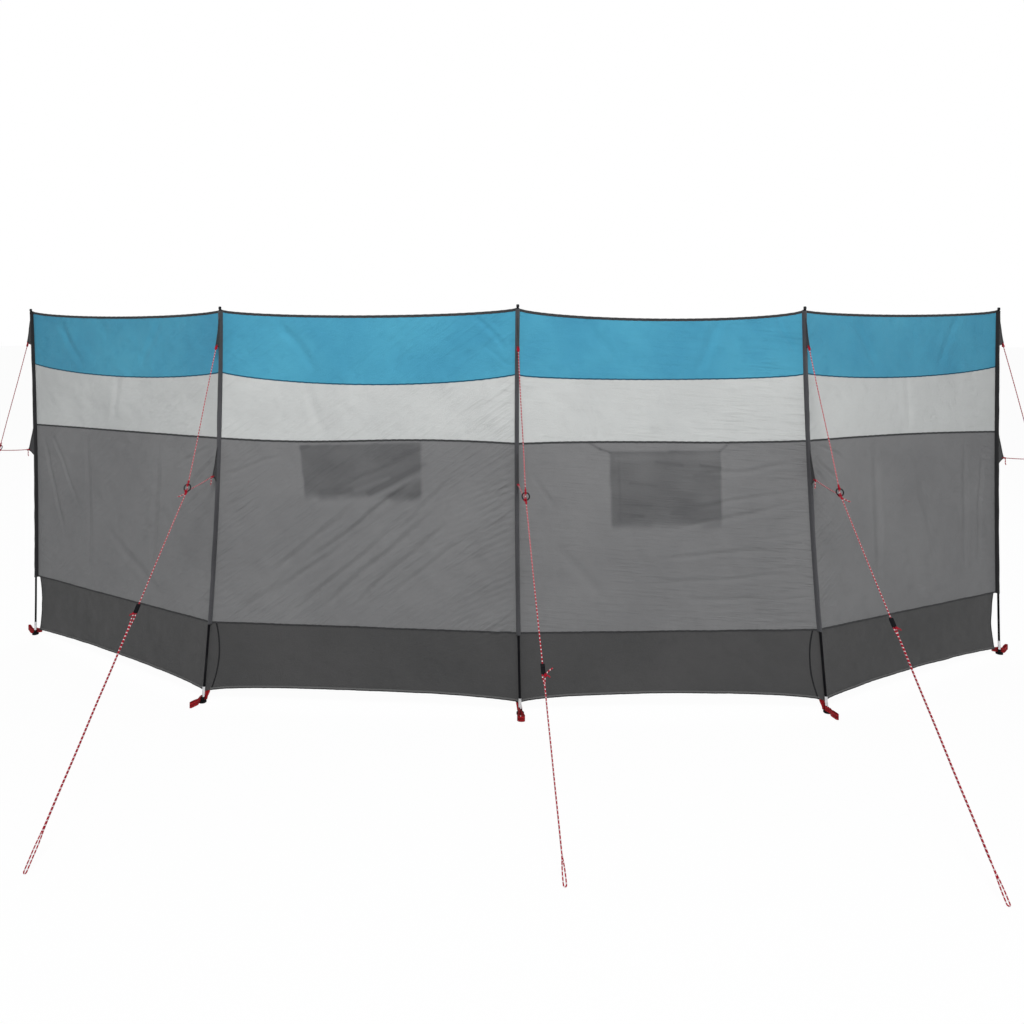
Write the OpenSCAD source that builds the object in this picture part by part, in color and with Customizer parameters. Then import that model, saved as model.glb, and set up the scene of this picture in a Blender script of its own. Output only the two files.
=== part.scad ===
// Four-bay pole windbreak, staked out in a shallow arc.
// Millimetres, +Z up. The origin is on the ground under the middle pole,
// +X runs along the row to its right end and +Y points behind the cloth.

/* [Row] */
// Length of a pole from the ground to its tip
pole_h = 1500; // [1200:10:1800]
// Distance between the feet of neighbouring poles, first bay to last
bay_span = [1175, 1195, 1130, 1120]; // [900:5:1400]
// Turn of the row at the second, third and fourth pole, in degrees
row_turn = [29.5, 5, 27]; // [2:0.5:40]
// Lean of each pole along X, in degrees
lean_side = [-1.6, 1.2, -0.35, -1.2, -0.3]; // [-4:0.05:4]
// Lean of each pole towards the back, in degrees
lean_back = [1.1, 3.8, -0.5, 4.4, -0.6]; // [-4:0.05:6]
// How far each pole bows to the right at half its height, never quite zero
pole_bow = [20, 21, -7, -17, -13]; // [-30:1:30]

/* [Poles and feet] */
// Diameter of a pole
pole_d = 8.5; // [6:0.1:14]
// Wall of the cap on a pole's tip
cap_wall = 1.1; // [0.8:0.1:3]
// Height of the cap
cap_h = 11; // [8:0.5:20]
// Thickness of the cap's roof over the pole's end
cap_roof = 3; // [2:0.5:5]
// Wall of the metal ferrule on a pole's lower end
ferrule_wall = 1.1; // [0.6:0.1:2]
// Length of the ferrule
ferrule_h = 37; // [20:1:60]
// Diameter of the foot disc that stands on the ground
foot_d = 28; // [24:1:50]
// Thickness of the foot disc
foot_t = 6; // [3:0.5:10]
// How far the socket boss on the foot disc stands out round the ferrule
boss_rim = 0.5; // [0:0.1:3]
// Height of the boss above the ground
boss_h = 20; // [12:1:40]

/* [Cloth] */
// Thickness given to every panel of cloth
cloth_t = 1.6; // [1.2:0.1:3]
// Distance from a pole's tip down to the top edge of the cloth
tip_h = 12; // [12:1:30]
// Height of the bound hem along the top edge
hem_h = 9; // [6:1:20]
// Depth of the blue band below the hem
blue_h = 234; // [150:1:320]
// Depth of the pale band
pale_h = 256; // [150:1:320]
// How much lower the seams below the pale band lie at the two end poles
pale_end_extra = 26; // [0:1:40]
// Height of the seam between the grey wall and the ground flap, at the inner poles
flap_seam_h = 293; // [200:1:400]
// Height of the ground flap's corners above the ground at the inner poles
flap_gap = 36; // [25:1:60]
// Height of the ground flap's corners above the ground at the end poles
flap_end_gap = 12; // [8:1:30]
// Dip of the top edge at the middle of each bay
top_sag = [26, 26, 38, 20]; // [0:1:80]
// Dip of the blue band's lower seam at the middle of each bay
blue_sag = [38, 44, 22, 30]; // [0:1:80]
// Rise of the ground flap's lower edge at the middle of each bay
flap_rise = [26, 26, 32, 26]; // [0:1:60]
// Distance from a pole to the flap's free side edge at its top and bottom
flap_side = 20; // [16:1:40]
// Further set-back of the free side edge at its middle
flap_side_curve = 20; // [0:1:40]
// How far an outer flap runs on behind the flap of the inner bay
flap_tuck = 55; // [45:1:90]
// How far the flap laps up behind the grey wall at its seam
flap_lap = 8; // [5:1:20]

/* [Sleeves and pockets] */
// Wall of a pole sleeve
sleeve_wall = 1.6; // [1.2:0.1:3]
// Width of a sleeve's sewn edge on each side of the pole
sleeve_lip = 3.85; // [2:0.05:8]
// Width, height and left edge of the pocket behind the second bay
pocket_left = [490, 210, 335]; // [100:5:700]
// Width, height and left edge of the pocket behind the third bay
pocket_right = [430, 275, 350]; // [100:5:700]
// Drop of the third bay's pocket below the pale band's lower seam
pocket_right_drop = 38; // [6:1:80]

/* [Guys] */
// Diameter of the guy cord
cord_d = 3.5; // [2.5:0.1:6]
// Distance on the ground from each pole's foot to the end of its guy
guy_reach = [950, 958, 900, 978, 950]; // [600:1:1600]
// Direction of each guy, in degrees from straight ahead, positive to the right
guy_turn = [-109, -8, 4, 0.5, 109]; // [-130:0.5:130]
// Height of the guy's lower end above the ground
guy_end_z = 7; // [7:0.5:20]
// Space between the middles of the two strands below the runner
guy_strand_gap = 8; // [5:0.5:12]
// Distance from a pole to its guy ring
ring_out = 220; // [150:5:400]
// How far the ring hangs below the lower tab's tip
ring_drop = 3; // [0:1:40]
// Outer diameter of the ring
ring_d = 29; // [20:0.5:40]
// Thickness of the ring
ring_t = 4; // [3:0.5:6]
// Place of each runner, as a share of the way from the ring to the ground
runner_at = [0.38, 0.38, 0.51, 0.39, 0.38]; // [0.2:0.01:0.8]
// Length, width and thickness of a runner
runner_size = [30, 13, 6]; // [5:0.5:50]

/* [Guy tabs] */
// Distance from a pole's tip down to the tip of its upper tab
upper_tab_down = 155; // [130:5:300]
// Distance from the pale band's lower seam down to the tip of the lower tab
lower_tab_down = 141; // [20:1:300]
// Distance from the pole's middle to a tab's tip
tab_out = 40; // [25:1:60]
// Height of a tab where it is sewn on, above its tip
tab_rise = 105; // [60:5:140]
// Height of the upper tab where it is sewn on, below its tip
upper_tab_drop = 4; // [2:1:20]
// Height of the lower tab where it is sewn on, below its tip
tab_drop = 22; // [5:1:40]
// Thickness of a tab
tab_t = 2; // [1:0.1:3]
// Diameter of the hole in a tab's tip
tab_hole = 4.6; // [4:0.1:8]

/* [Foot straps] */
// Width of the webbing
strap_w = 20; // [12:1:30]
// Thickness of the webbing
strap_t = 1.6; // [1.2:0.1:3]
// How far the webbing laps up behind the flap
strap_lap = 14; // [8:1:40]
// Length of the peg loop
loop_l = 46; // [40:1:90]
// Inside width of the peg loop
loop_gap = 9; // [6:0.5:20]
// Direction of each peg loop, in degrees from straight ahead
loop_turn = [-122, -31, 0, 12, 118]; // [-130:1:130]

/* [Hidden] */
$fn = 48;

// Clearances: a sleeve, a cap and a ferrule round the pole, cloth beside cloth, and a seat
sleeve_clear = 0.3;
cap_clear = 0.15;
cloth_clear = 0.3;
seat_clear = 0.3;
// Where the row turns, the webbing lies closer against the flap
strap_clear = 0.1;
// A leaning pole's end stays this far above its level boss
foot_clear = 0.9;
// and the webbing behind it this far above the foot disc
riser_clear = 2.4;

LAST = 4;
COLS = 16;
WALL_ROWS = 6;
FLAP_ROWS = 4;
BAND_ROWS = 2;
POLE_SIDES = 24;
POLE_RINGS = 10;
SLEEVE_ROWS = 8;
SLEEVE_ARC = 10;

// The row on the ground
bay_dir = [
  -row_turn[1] / 2 - row_turn[0],
  -row_turn[1] / 2,
  row_turn[1] / 2,
  row_turn[1] / 2 + row_turn[2]
];
function along(a) = [cos(a), sin(a), 0];
second_foot = -bay_span[1] * along(bay_dir[1]);
fourth_foot = bay_span[2] * along(bay_dir[2]);
foot = [
  second_foot - bay_span[0] * along(bay_dir[0]),
  second_foot,
  [0, 0, 0],
  fourth_foot,
  fourth_foot + bay_span[3] * along(bay_dir[3])
];
function left_bay(i) = max(i - 1, 0);
function right_bay(i) = min(i, LAST - 1);
// The way a pole's sleeve faces, and half the turn of the cloth at the pole
function face(i) = (bay_dir[left_bay(i)] + bay_dir[right_bay(i)]) / 2;
function half_turn(i) = (bay_dir[right_bay(i)] - bay_dir[left_bay(i)]) / 2;

// A pole is an arc of a large circle
function bow_r(i) = (pow(pole_h, 2) / 4 + pow(pole_bow[i], 2)) / (2 * abs(pole_bow[i]));
function bow_side(i) = sign(pole_bow[i]);
function bow_angle(i, z) = asin((z - pole_h / 2) / bow_r(i));
function bow_x(i, z) =
  bow_side(i) * (bow_r(i) * cos(bow_angle(i, z)) - bow_r(i) + abs(pole_bow[i]));
function bow_slope(i, z) = -bow_side(i) * bow_angle(i, z);

// From a pole's own frame (X along the row, Y behind, Z up the pole) to the row's
function turn_x(a, p) = [p[0], p[1] * cos(a) - p[2] * sin(a), p[1] * sin(a) + p[2] * cos(a)];
function turn_y(a, p) = [p[0] * cos(a) + p[2] * sin(a), p[1], p[2] * cos(a) - p[0] * sin(a)];
function turn_z(a, p) = [p[0] * cos(a) - p[1] * sin(a), p[0] * sin(a) + p[1] * cos(a), p[2]];
function to_row(i, p) =
  foot[i] + turn_y(lean_side[i], turn_x(-lean_back[i], turn_z(face(i), p)));
function on_pole(i, z, dx = 0, dy = 0) = to_row(i, [bow_x(i, z) + dx, dy, z]);

module at_pole(i) {
  translate(foot[i])
    rotate([-lean_back[i], lean_side[i], 0])
      rotate([0, 0, face(i)])
        children();
}

// Places children at a height on the pole, turned with its bow
module at_height(i, z) {
  at_pole(i)
    translate([bow_x(i, z), 0, z])
      rotate([0, bow_slope(i, z), 0])
        children();
}

// A closed skin over rings of points, the first ring lowest
module skin(rings) {
  n = len(rings[0]);
  last = len(rings) - 1;
  walls = [
    for (r = [0:last - 1], c = [0:n - 1])
      let (d = (c + 1) % n) each [
        [r * n + c, (r + 1) * n + c, (r + 1) * n + d],
        [r * n + c, (r + 1) * n + d, r * n + d]
      ]
  ];
  ends = [
    for (c = [1:n - 2]) each [
      [0, c, c + 1],
      [last * n, last * n + c + 1, last * n + c]
    ]
  ];
  polyhedron(points = [for (ring = rings) each ring], faces = concat(walls, ends));
}

module rod(a, b, d) {
  v = b - a;
  translate(a)
    rotate([0, acos(v[2] / norm(v)), atan2(v[1], v[0])])
      cylinder(d = d, h = norm(v));
}

// Heights of the seams along a pole
function is_end(i) = i == 0 || i == LAST;
hem_top = pole_h - tip_h;
blue_top = hem_top - hem_h;
blue_low = blue_top - blue_h;
inner_pale_low = blue_low - pale_h;
function end_drop(i) = is_end(i) ? pale_end_extra : 0;
function pale_low(i) = inner_pale_low - end_drop(i);
function wall_low(i) = flap_seam_h - end_drop(i);
function flap_low(i) = is_end(i) ? flap_end_gap : flap_gap;

// The cloth hangs behind the poles: its layers, measured back from a pole's middle
sleeve_r = pole_d / 2 + sleeve_clear + sleeve_wall;
sleeve_half_w = sleeve_r + sleeve_lip;
cloth_front = sleeve_r + cloth_clear;
cloth_back = cloth_front + cloth_t;
flap_front = cloth_back + cloth_clear;
flap_back = flap_front + cloth_t;
tuck_front = flap_back + cloth_clear;
tuck_back = tuck_front + cloth_t;

// A point of the cloth at a pole, on the mitre where two bays meet
function at_mitre(i, z, depth) = on_pole(i, z, 0, depth / cos(half_turn(i)));
function mix(a, b, t) = a * (1 - t) + b * t;
// A point of bay k: t runs from its left pole to its right one
function in_bay(k, t, z_left, z_right, dip, depth) =
  mix(at_mitre(k, z_left, depth), at_mitre(k + 1, z_right, depth), t)
  - [0, 0, dip * 4 * t * (1 - t)];
// The outer bays run on past their end pole to the far edge of its sleeve
function bay_start(k) = k == 0 ? -sleeve_half_w / bay_span[k] : 0;
function bay_stop(k) = k == LAST - 1 ? 1 + sleeve_half_w / bay_span[k] : 1;
function bay_share(k, c) = mix(bay_start(k), bay_stop(k), c / COLS);

// A closed sheet between a front and a back grid of points, [column][row]
module sheet(front, back) {
  n = len(front);
  m = len(front[0]);
  points = concat([for (c = front) each c], [for (c = back) each c]);
  function f(c, r) = c * m + r;
  function b(c, r) = n * m + c * m + r;
  skins = [
    for (c = [0:n - 2], r = [0:m - 2]) each [
      [f(c, r), f(c + 1, r), f(c + 1, r + 1)],
      [f(c, r), f(c + 1, r + 1), f(c, r + 1)],
      [b(c, r), b(c + 1, r + 1), b(c + 1, r)],
      [b(c, r), b(c, r + 1), b(c + 1, r + 1)]
    ]
  ];
  sides = [
    for (r = [0:m - 2]) each [
      [f(0, r), f(0, r + 1), b(0, r + 1)],
      [f(0, r), b(0, r + 1), b(0, r)],
      [f(n - 1, r), b(n - 1, r + 1), f(n - 1, r + 1)],
      [f(n - 1, r), b(n - 1, r), b(n - 1, r + 1)]
    ]
  ];
  rims = [
    for (c = [0:n - 2]) each [
      [f(c, 0), b(c + 1, 0), f(c + 1, 0)],
      [f(c, 0), b(c, 0), b(c + 1, 0)],
      [f(c, m - 1), f(c + 1, m - 1), b(c + 1, m - 1)],
      [f(c, m - 1), b(c + 1, m - 1), b(c, m - 1)]
    ]
  ];
  polyhedron(points = points, faces = [for (t = concat(skins, sides, rims)) [t[0], t[2], t[1]]]);
}

// Points of one bay between two seams; v runs from the lower one to the upper one
function band_grid(k, low, high, dips, rows, depth) = [
  for (c = [0:COLS]) [
    for (r = [0:rows])
      let (v = r / rows)
        in_bay(k, bay_share(k, c), mix(low[0], high[0], v), mix(low[1], high[1], v),
               mix(dips[0], dips[1], v), depth)
  ]
];

module band(k, low, high, dips, rows) {
  sheet(band_grid(k, low, high, dips, rows, cloth_front),
        band_grid(k, low, high, dips, rows, cloth_back));
}

module blue_band(k) {
  color("#5aa3bc")
    band(k, [blue_low, blue_low], [blue_top, blue_top], [blue_sag[k], top_sag[k]], BAND_ROWS);
}

module pale_band(k) {
  color("#bbbdbc")
    band(k, [pale_low(k), pale_low(k + 1)], [blue_low, blue_low], [0, blue_sag[k]], BAND_ROWS);
}

module wall_panel(k) {
  color("#7a7a7a")
    band(k, [wall_low(k), wall_low(k + 1)], [pale_low(k), pale_low(k + 1)], [0, 0], WALL_ROWS);
}

module top_hem() {
  function rim(depth) = [
    for (k = [0:LAST - 1], c = [(k == 0 ? 0 : 1):COLS]) [
      for (z = [blue_top, hem_top]) in_bay(k, bay_share(k, c), z, z, top_sag[k], depth)
    ]
  ];
  color("#3c3c3c") sheet(rim(cloth_front), rim(cloth_back));
}

// The ground flap. v is 0 at its lower edge and 1 where it laps behind the wall
function flap_z(i, v) = mix(flap_low(i), wall_low(i) + flap_lap, v);
function side_cut(v) = flap_side + flap_side_curve * 4 * v * (1 - v);
function flap_point(k, t, v, depth) =
  in_bay(k, t, flap_z(k, v), flap_z(k + 1, v), -flap_rise[k] * (1 - v), depth);
function flap_start(k, v) = k == 0 || k == 1 ? side_cut(v) / bay_span[k] : 0;
function flap_stop(k, v) = k == 2 || k == LAST - 1 ? 1 - side_cut(v) / bay_span[k] : 1;
function flap_grid(k, depth) = [
  for (c = [0:COLS]) [
    for (r = [0:FLAP_ROWS])
      let (v = r / FLAP_ROWS)
        flap_point(k, mix(flap_start(k, v), flap_stop(k, v), c / COLS), v, depth)
  ]
];
// The end of an outer flap that passes behind the inner bay's flap
function tuck_column(k, t, depth) = [
  for (r = [0:FLAP_ROWS]) flap_point(k, t, r / FLAP_ROWS, depth)
];
function tuck_share(k, d) = k == 1 ? d / bay_span[k] : 1 - d / bay_span[k];
function tuck_grid(k, depth) =
  let (near = tuck_column(k, tuck_share(k, flap_side * 0.8), depth),
       far = tuck_column(k, tuck_share(k, flap_tuck), depth))
    k == 1 ? [near, far] : [far, near];

module ground_flap(k) {
  front = flap_grid(k, flap_front);
  back = flap_grid(k, flap_back);
  color("#4b4b4b") {
    if (k == 0) {
      sheet(concat(front, tuck_grid(1, tuck_front)), concat(back, tuck_grid(1, tuck_back)));
    } else if (k == LAST - 1) {
      sheet(concat(tuck_grid(2, tuck_front), front), concat(tuck_grid(2, tuck_back), back));
    } else {
      sheet(front, back);
    }
  }
}

// A patch pocket sewn to the back of the wall; size is its width, height and left edge
module rear_pocket(k, size, drop) {
  function grid(depth) = [
    for (c = [0:6]) [
      for (r = [0:2])
        let (z = pale_low(k) - drop - size[1] * (1 - r / 2))
          in_bay(k, (size[2] + size[0] * c / 6) / bay_span[k], z, z, 0, depth)
    ]
  ];
  front = cloth_back + seat_clear;
  sheet(grid(front), grid(front + cloth_t));
}

module rear_pockets() {
  color("#5f5f61") {
    rear_pocket(1, pocket_left, 0);
    rear_pocket(2, pocket_right, pocket_right_drop);
  }
}

// The pole runs from its foot up into its cap
pole_low = boss_h + foot_clear;
pole_top = pole_h - cap_roof;
// Bore of a cap and a ferrule, and their outsides
pole_bore = pole_d + 2 * cap_clear;
cap_d = pole_bore + 2 * cap_wall;
ferrule_d = pole_bore + 2 * ferrule_wall;
boss_d = ferrule_d + 2 * boss_rim;
function pole_ring(i, z) = [
  for (c = [0:POLE_SIDES - 1])
    let (a = -360 * c / POLE_SIDES)
      on_pole(i, z, pole_d / 2 * cos(a), pole_d / 2 * sin(a))
];

module pole(i) {
  color("#1c1c1d")
    skin([for (r = [0:POLE_RINGS]) pole_ring(i, mix(pole_low, pole_top, r / POLE_RINGS))]);
}

module pole_caps() {
  round_r = cap_d / 4;
  color("#141414")
    for (i = [0:LAST])
      at_height(i, pole_h - cap_h)
        difference() {
          rotate_extrude()
            union() {
              square([cap_d / 2, cap_h - round_r]);
              square([cap_d / 2 - round_r, cap_h]);
              translate([cap_d / 2 - round_r, cap_h - round_r]) circle(r = round_r);
            }
          translate([0, 0, -1]) cylinder(d = pole_bore, h = cap_h - cap_roof + 1 + seat_clear);
        }
}

// One row of a sleeve's strip, from its left sewn edge over the pole to its right one.
// r is the strip's distance from the pole's middle, and depth that of its sewn edges.
function sleeve_row(i, z, r, depth) =
  let (lk = left_bay(i), rk = right_bay(i),
       lt = i == 0 ? 0 : 1, rt = i == LAST ? 1 : 0)
    concat(
      [for (d = [sleeve_half_w, r]) in_bay(lk, lt - d / bay_span[lk], z, z, 0, depth)],
      [for (c = [0:SLEEVE_ARC])
        let (a = 180 + 180 * c / SLEEVE_ARC)
          on_pole(i, z, r * cos(a), r * sin(a))],
      [for (d = [r, sleeve_half_w]) in_bay(rk, rt + d / bay_span[rk], z, z, 0, depth)]
    );
function sleeve_grid(i, r, depth) =
  let (low = wall_low(i), high = pole_h - cap_h - seat_clear,
       rows = [for (s = [0:SLEEVE_ROWS]) sleeve_row(i, mix(low, high, s / SLEEVE_ROWS), r, depth)])
    [for (c = [0:len(rows[0]) - 1]) [for (row = rows) row[c]]];

module sleeve(i) {
  inside = pole_d / 2 + sleeve_clear;
  edge = cloth_front - cloth_clear;
  color("#4b4b4e")
    sheet(sleeve_grid(i, sleeve_r, edge - sleeve_wall), sleeve_grid(i, inside, edge));
}

module pole_ferrules() {
  color("#a5a5a5")
    for (i = [0:LAST])
      at_height(i, pole_low + ferrule_h / 2)
        difference() {
          cylinder(d = ferrule_d, h = ferrule_h, center = true);
          cylinder(d = pole_bore, h = ferrule_h + 2, center = true);
        }
}

module pole_feet() {
  color("#161616")
    for (i = [0:LAST])
      translate(foot[i]) {
        cylinder(d = foot_d, h = foot_t);
        cylinder(d = boss_d, h = boss_h);
      }
}

// Guys, with the heights of the tabs' tips and of the ring
upper_tab_h = pole_h - upper_tab_down;
lower_tab_h = inner_pale_low - lower_tab_down;
ring_h = lower_tab_h - ring_drop;
function heading(a) = [sin(a), -cos(a), 0];
function flat_unit(v) = [v[0], v[1], 0] / norm([v[0], v[1], 0]);
function guy_end(i) = foot[i] + guy_reach[i] * heading(guy_turn[i]) + [0, 0, guy_end_z];
function guy_dir(i) = flat_unit(guy_end(i) - on_pole(i, upper_tab_h));
function ring_at(i) = on_pole(i, ring_h) + ring_out * guy_dir(i);
// Direction of the guy in the pole's own frame, in degrees from its X
function tab_angle(i) = atan2(guy_dir(i)[1], guy_dir(i)[0]) - face(i);
// A tab is set square to the pole at the middle of its sewn edge, and z is its tip's height
function tab_middle(low) = (tab_rise - low) / 2;
function tab_tip(i, z, low) =
  let (m = tab_middle(low), a = tab_angle(i),
       p = turn_y(bow_slope(i, z + m), [tab_out * cos(a), tab_out * sin(a), -m]))
    to_row(i, p + [bow_x(i, z + m), 0, z + m]);
function upper_tip(i) = tab_tip(i, upper_tab_h, upper_tab_drop);
function lower_tip(i) = tab_tip(i, lower_tab_h, tab_drop);
function unit(v) = v / norm(v);
// Middle of the ring's wire where the cords take hold, above and below
function ring_up(i) = unit(upper_tip(i) - ring_at(i));
ring_wire_r = (ring_d - ring_t) / 2;
function ring_low(i) = ring_at(i) - ring_wire_r * ring_up(i);
function down_guy(i) = unit(guy_end(i) - ring_low(i));
function runner_mid(i) = mix(ring_low(i), guy_end(i), runner_at[i]);
wire_clear = ring_t / 2 + seat_clear;
// Cloth below the level of a tab's tip
tab_lip = 2;

module tab_outline(low) {
  difference() {
    polygon([
      [sleeve_r + seat_clear, tab_rise],
      [sleeve_r + seat_clear, -low],
      [tab_out * 0.62, -low * 0.25 - tab_lip],
      [tab_out, -tab_lip],
      [tab_out, 2 * tab_lip]
    ]);
    translate([tab_out - tab_hole, tab_hole]) circle(d = tab_hole);
  }
}

module guy_tabs(z, low) {
  color("#3f3f41")
    for (i = [0:LAST])
      at_height(i, z + tab_middle(low))
        rotate([0, 0, tab_angle(i)])
          rotate([90, 0, 0])
            translate([0, -tab_middle(low), -tab_t / 2])
              linear_extrude(height = tab_t) tab_outline(low);
}

module upper_guy_tabs() {
  guy_tabs(upper_tab_h, upper_tab_drop);
}

module lower_guy_tabs() {
  guy_tabs(lower_tab_h, tab_drop);
}

module guy_rings() {
  color("#191919")
    for (i = [0:LAST])
      let (u = ring_up(i), g = guy_dir(i))
        translate(ring_at(i))
          rotate([0, 0, atan2(g[1], g[0])])
            rotate([0, 90 - acos(-norm([u[0], u[1]])), 0])
              rotate([0, 90, 0])
                rotate_extrude() translate([ring_wire_r, 0]) circle(d = ring_t);
}

// Places children at a point of the guy, with Z down along it and Y level
module on_guy(i, p) {
  down = down_guy(i);
  translate(p)
    rotate([0, acos(down[2]), atan2(down[1], down[0])])
      children();
}

module guy_line(i) {
  up = ring_up(i);
  to_low = unit(lower_tip(i) - ring_low(i));
  hold = tab_lip + seat_clear;
  half_run = runner_size[0] / 2 + seat_clear;
  strand = norm(guy_end(i) - runner_mid(i)) - half_run;
  color("#c83c50") {
    rod(ring_at(i) + up * (ring_wire_r + wire_clear), upper_tip(i) - up * hold, cord_d);
    rod(ring_low(i) + to_low * wire_clear, lower_tip(i) - to_low * hold, cord_d);
    rod(ring_low(i) + down_guy(i) * wire_clear, runner_mid(i) - down_guy(i) * half_run, cord_d);
    on_guy(i, runner_mid(i) + down_guy(i) * half_run) {
      for (s = [-1, 1])
        translate([0, s * guy_strand_gap / 2, 0]) cylinder(d = cord_d, h = strand);
      translate([0, 0, strand])
        rotate([90, 0, 90])
          rotate_extrude(angle = 180) translate([guy_strand_gap / 2, 0]) circle(d = cord_d);
    }
  }
}

module guy_runners() {
  half_w = (runner_size[1] - runner_size[2]) / 2;
  color("#1b1b1b")
    for (i = [0:LAST])
      on_guy(i, runner_mid(i) - down_guy(i) * runner_size[0] / 2)
        linear_extrude(height = runner_size[0])
          union() {
            translate([-runner_size[2] / 2, -half_w]) square([runner_size[2], 2 * half_w]);
            for (s = [-1, 1])
              translate([0, s * half_w]) circle(d = runner_size[2]);
          }
}

// The riser from the flap's corner to the foot, and the peg loop beside the foot
module loop_outline() {
  wide = loop_gap + 2 * strap_t;
  difference() {
    union() {
      translate([wide / 2, -wide / 2]) square([loop_l - wide, wide]);
      for (x = [wide / 2, loop_l - wide / 2])
        translate([x, 0]) circle(d = wide);
    }
    translate([wide / 2, -loop_gap / 2]) square([loop_l - wide, loop_gap]);
    for (x = [wide / 2, loop_l - wide / 2])
      translate([x, 0]) circle(d = loop_gap);
  }
}

module foot_strap(i) {
  tucked = i == 1 || i == LAST - 1;
  last_layer = tucked ? tuck_back : flap_back;
  seat = is_end(i) ? seat_clear : strap_clear;
  riser_y = last_layer / cos(half_turn(i)) + strap_w / 2 * tan(half_turn(i)) + seat;
  // At an end pole the webbing reaches sideways to the flap's corner
  reach = is_end(i) ? flap_side + strap_lap : 0;
  left = -strap_w / 2 - (i == LAST ? reach : 0);
  color("#960f19") {
    at_height(i, foot_t + riser_clear)
      translate([left, riser_y, 0])
        cube([strap_w + reach, strap_t, flap_low(i) + strap_lap - foot_t]);
    translate(foot[i])
      rotate([0, 0, loop_turn[i] - 90])
        translate([foot_d / 2 + seat_clear, 0, 0])
          linear_extrude(height = strap_w) loop_outline();
  }
}

pole(0);  // pole_1
pole(1);  // pole_2
pole(2);  // pole_3
pole(3);  // pole_4
pole(4);  // pole_5
sleeve(0);  // sleeve_1
sleeve(1);  // sleeve_2
sleeve(2);  // sleeve_3
sleeve(3);  // sleeve_4
sleeve(4);  // sleeve_5
blue_band(0);  // blue_band_1
blue_band(1);  // blue_band_2
blue_band(2);  // blue_band_3
blue_band(3);  // blue_band_4
pale_band(0);  // pale_band_1
pale_band(1);  // pale_band_2
pale_band(2);  // pale_band_3
pale_band(3);  // pale_band_4
wall_panel(0);  // wall_panel_1
wall_panel(1);  // wall_panel_2
wall_panel(2);  // wall_panel_3
wall_panel(3);  // wall_panel_4
ground_flap(0);  // ground_flap_1
ground_flap(1);  // ground_flap_2
ground_flap(2);  // ground_flap_3
ground_flap(3);  // ground_flap_4
top_hem();
rear_pockets();
guy_line(0);  // guy_line_1
guy_line(1);  // guy_line_2
guy_line(2);  // guy_line_3
guy_line(3);  // guy_line_4
guy_line(4);  // guy_line_5
foot_strap(0);  // foot_strap_1
foot_strap(1);  // foot_strap_2
foot_strap(2);  // foot_strap_3
foot_strap(3);  // foot_strap_4
foot_strap(4);  // foot_strap_5
pole_caps();
pole_ferrules();
pole_feet();
upper_guy_tabs();
lower_guy_tabs();
guy_rings();
guy_runners();
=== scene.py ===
import bpy
import math
import numpy as np
from mathutils import Matrix, Vector


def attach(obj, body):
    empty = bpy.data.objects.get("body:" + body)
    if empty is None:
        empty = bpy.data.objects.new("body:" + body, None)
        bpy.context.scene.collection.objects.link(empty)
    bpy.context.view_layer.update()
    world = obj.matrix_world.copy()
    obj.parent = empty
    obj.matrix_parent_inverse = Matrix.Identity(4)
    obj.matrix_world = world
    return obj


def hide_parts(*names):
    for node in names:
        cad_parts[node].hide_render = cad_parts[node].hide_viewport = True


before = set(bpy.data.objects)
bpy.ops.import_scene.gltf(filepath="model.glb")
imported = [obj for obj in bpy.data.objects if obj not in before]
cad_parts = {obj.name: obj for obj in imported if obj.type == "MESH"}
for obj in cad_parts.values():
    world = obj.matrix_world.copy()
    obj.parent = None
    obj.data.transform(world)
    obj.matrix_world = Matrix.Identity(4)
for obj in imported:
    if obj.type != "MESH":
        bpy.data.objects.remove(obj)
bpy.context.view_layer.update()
bpy.ops.object.select_all(action="DESELECT")

# --- Viewpoint -------------------------------------------------------------------------------
# A wide lens at eye height in front of the middle pole. The lens is shifted, not tilted, so
# that the poles stay upright in the frame.
eye = (-0.1614, -2.9081, 1.4237)
lens_data = bpy.data.cameras.new("viewpoint")
lens_data.sensor_width = 36
lens_data.lens = 27.80
lens_data.shift_x = 0.0608
lens_data.shift_y = -0.1854
lens_data.clip_end = 200
viewpoint = bpy.data.objects.new("viewpoint", lens_data)
viewpoint.location = eye
viewpoint.rotation_euler = (math.radians(90.214), 0, math.radians(1.910))
bpy.context.scene.collection.objects.link(viewpoint)
bpy.context.scene.camera = viewpoint
bpy.context.scene.view_settings.view_transform = "Standard"

# --- Studio ----------------------------------------------------------------------------------
# A white sweep under a pale sky, one very large soft light in front and above, and a weaker
# one behind the cloth. The camera sees the sweep as near white, and it keeps a faint shadow.
sky = bpy.data.worlds.new("studio_sky")
bpy.context.scene.world = sky
sky.use_nodes = True
sky_tree = sky.node_tree
sky_light = sky_tree.nodes["Background"]
sky_light.inputs["Color"].default_value = (0.93, 0.96, 1.0, 1)
sky_light.inputs["Strength"].default_value = 0.29
sky_seen = sky_tree.nodes.new("ShaderNodeBackground")
sky_seen.inputs["Color"].default_value = (1, 1, 1, 1)
sky_seen.inputs["Strength"].default_value = 1.0


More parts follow.
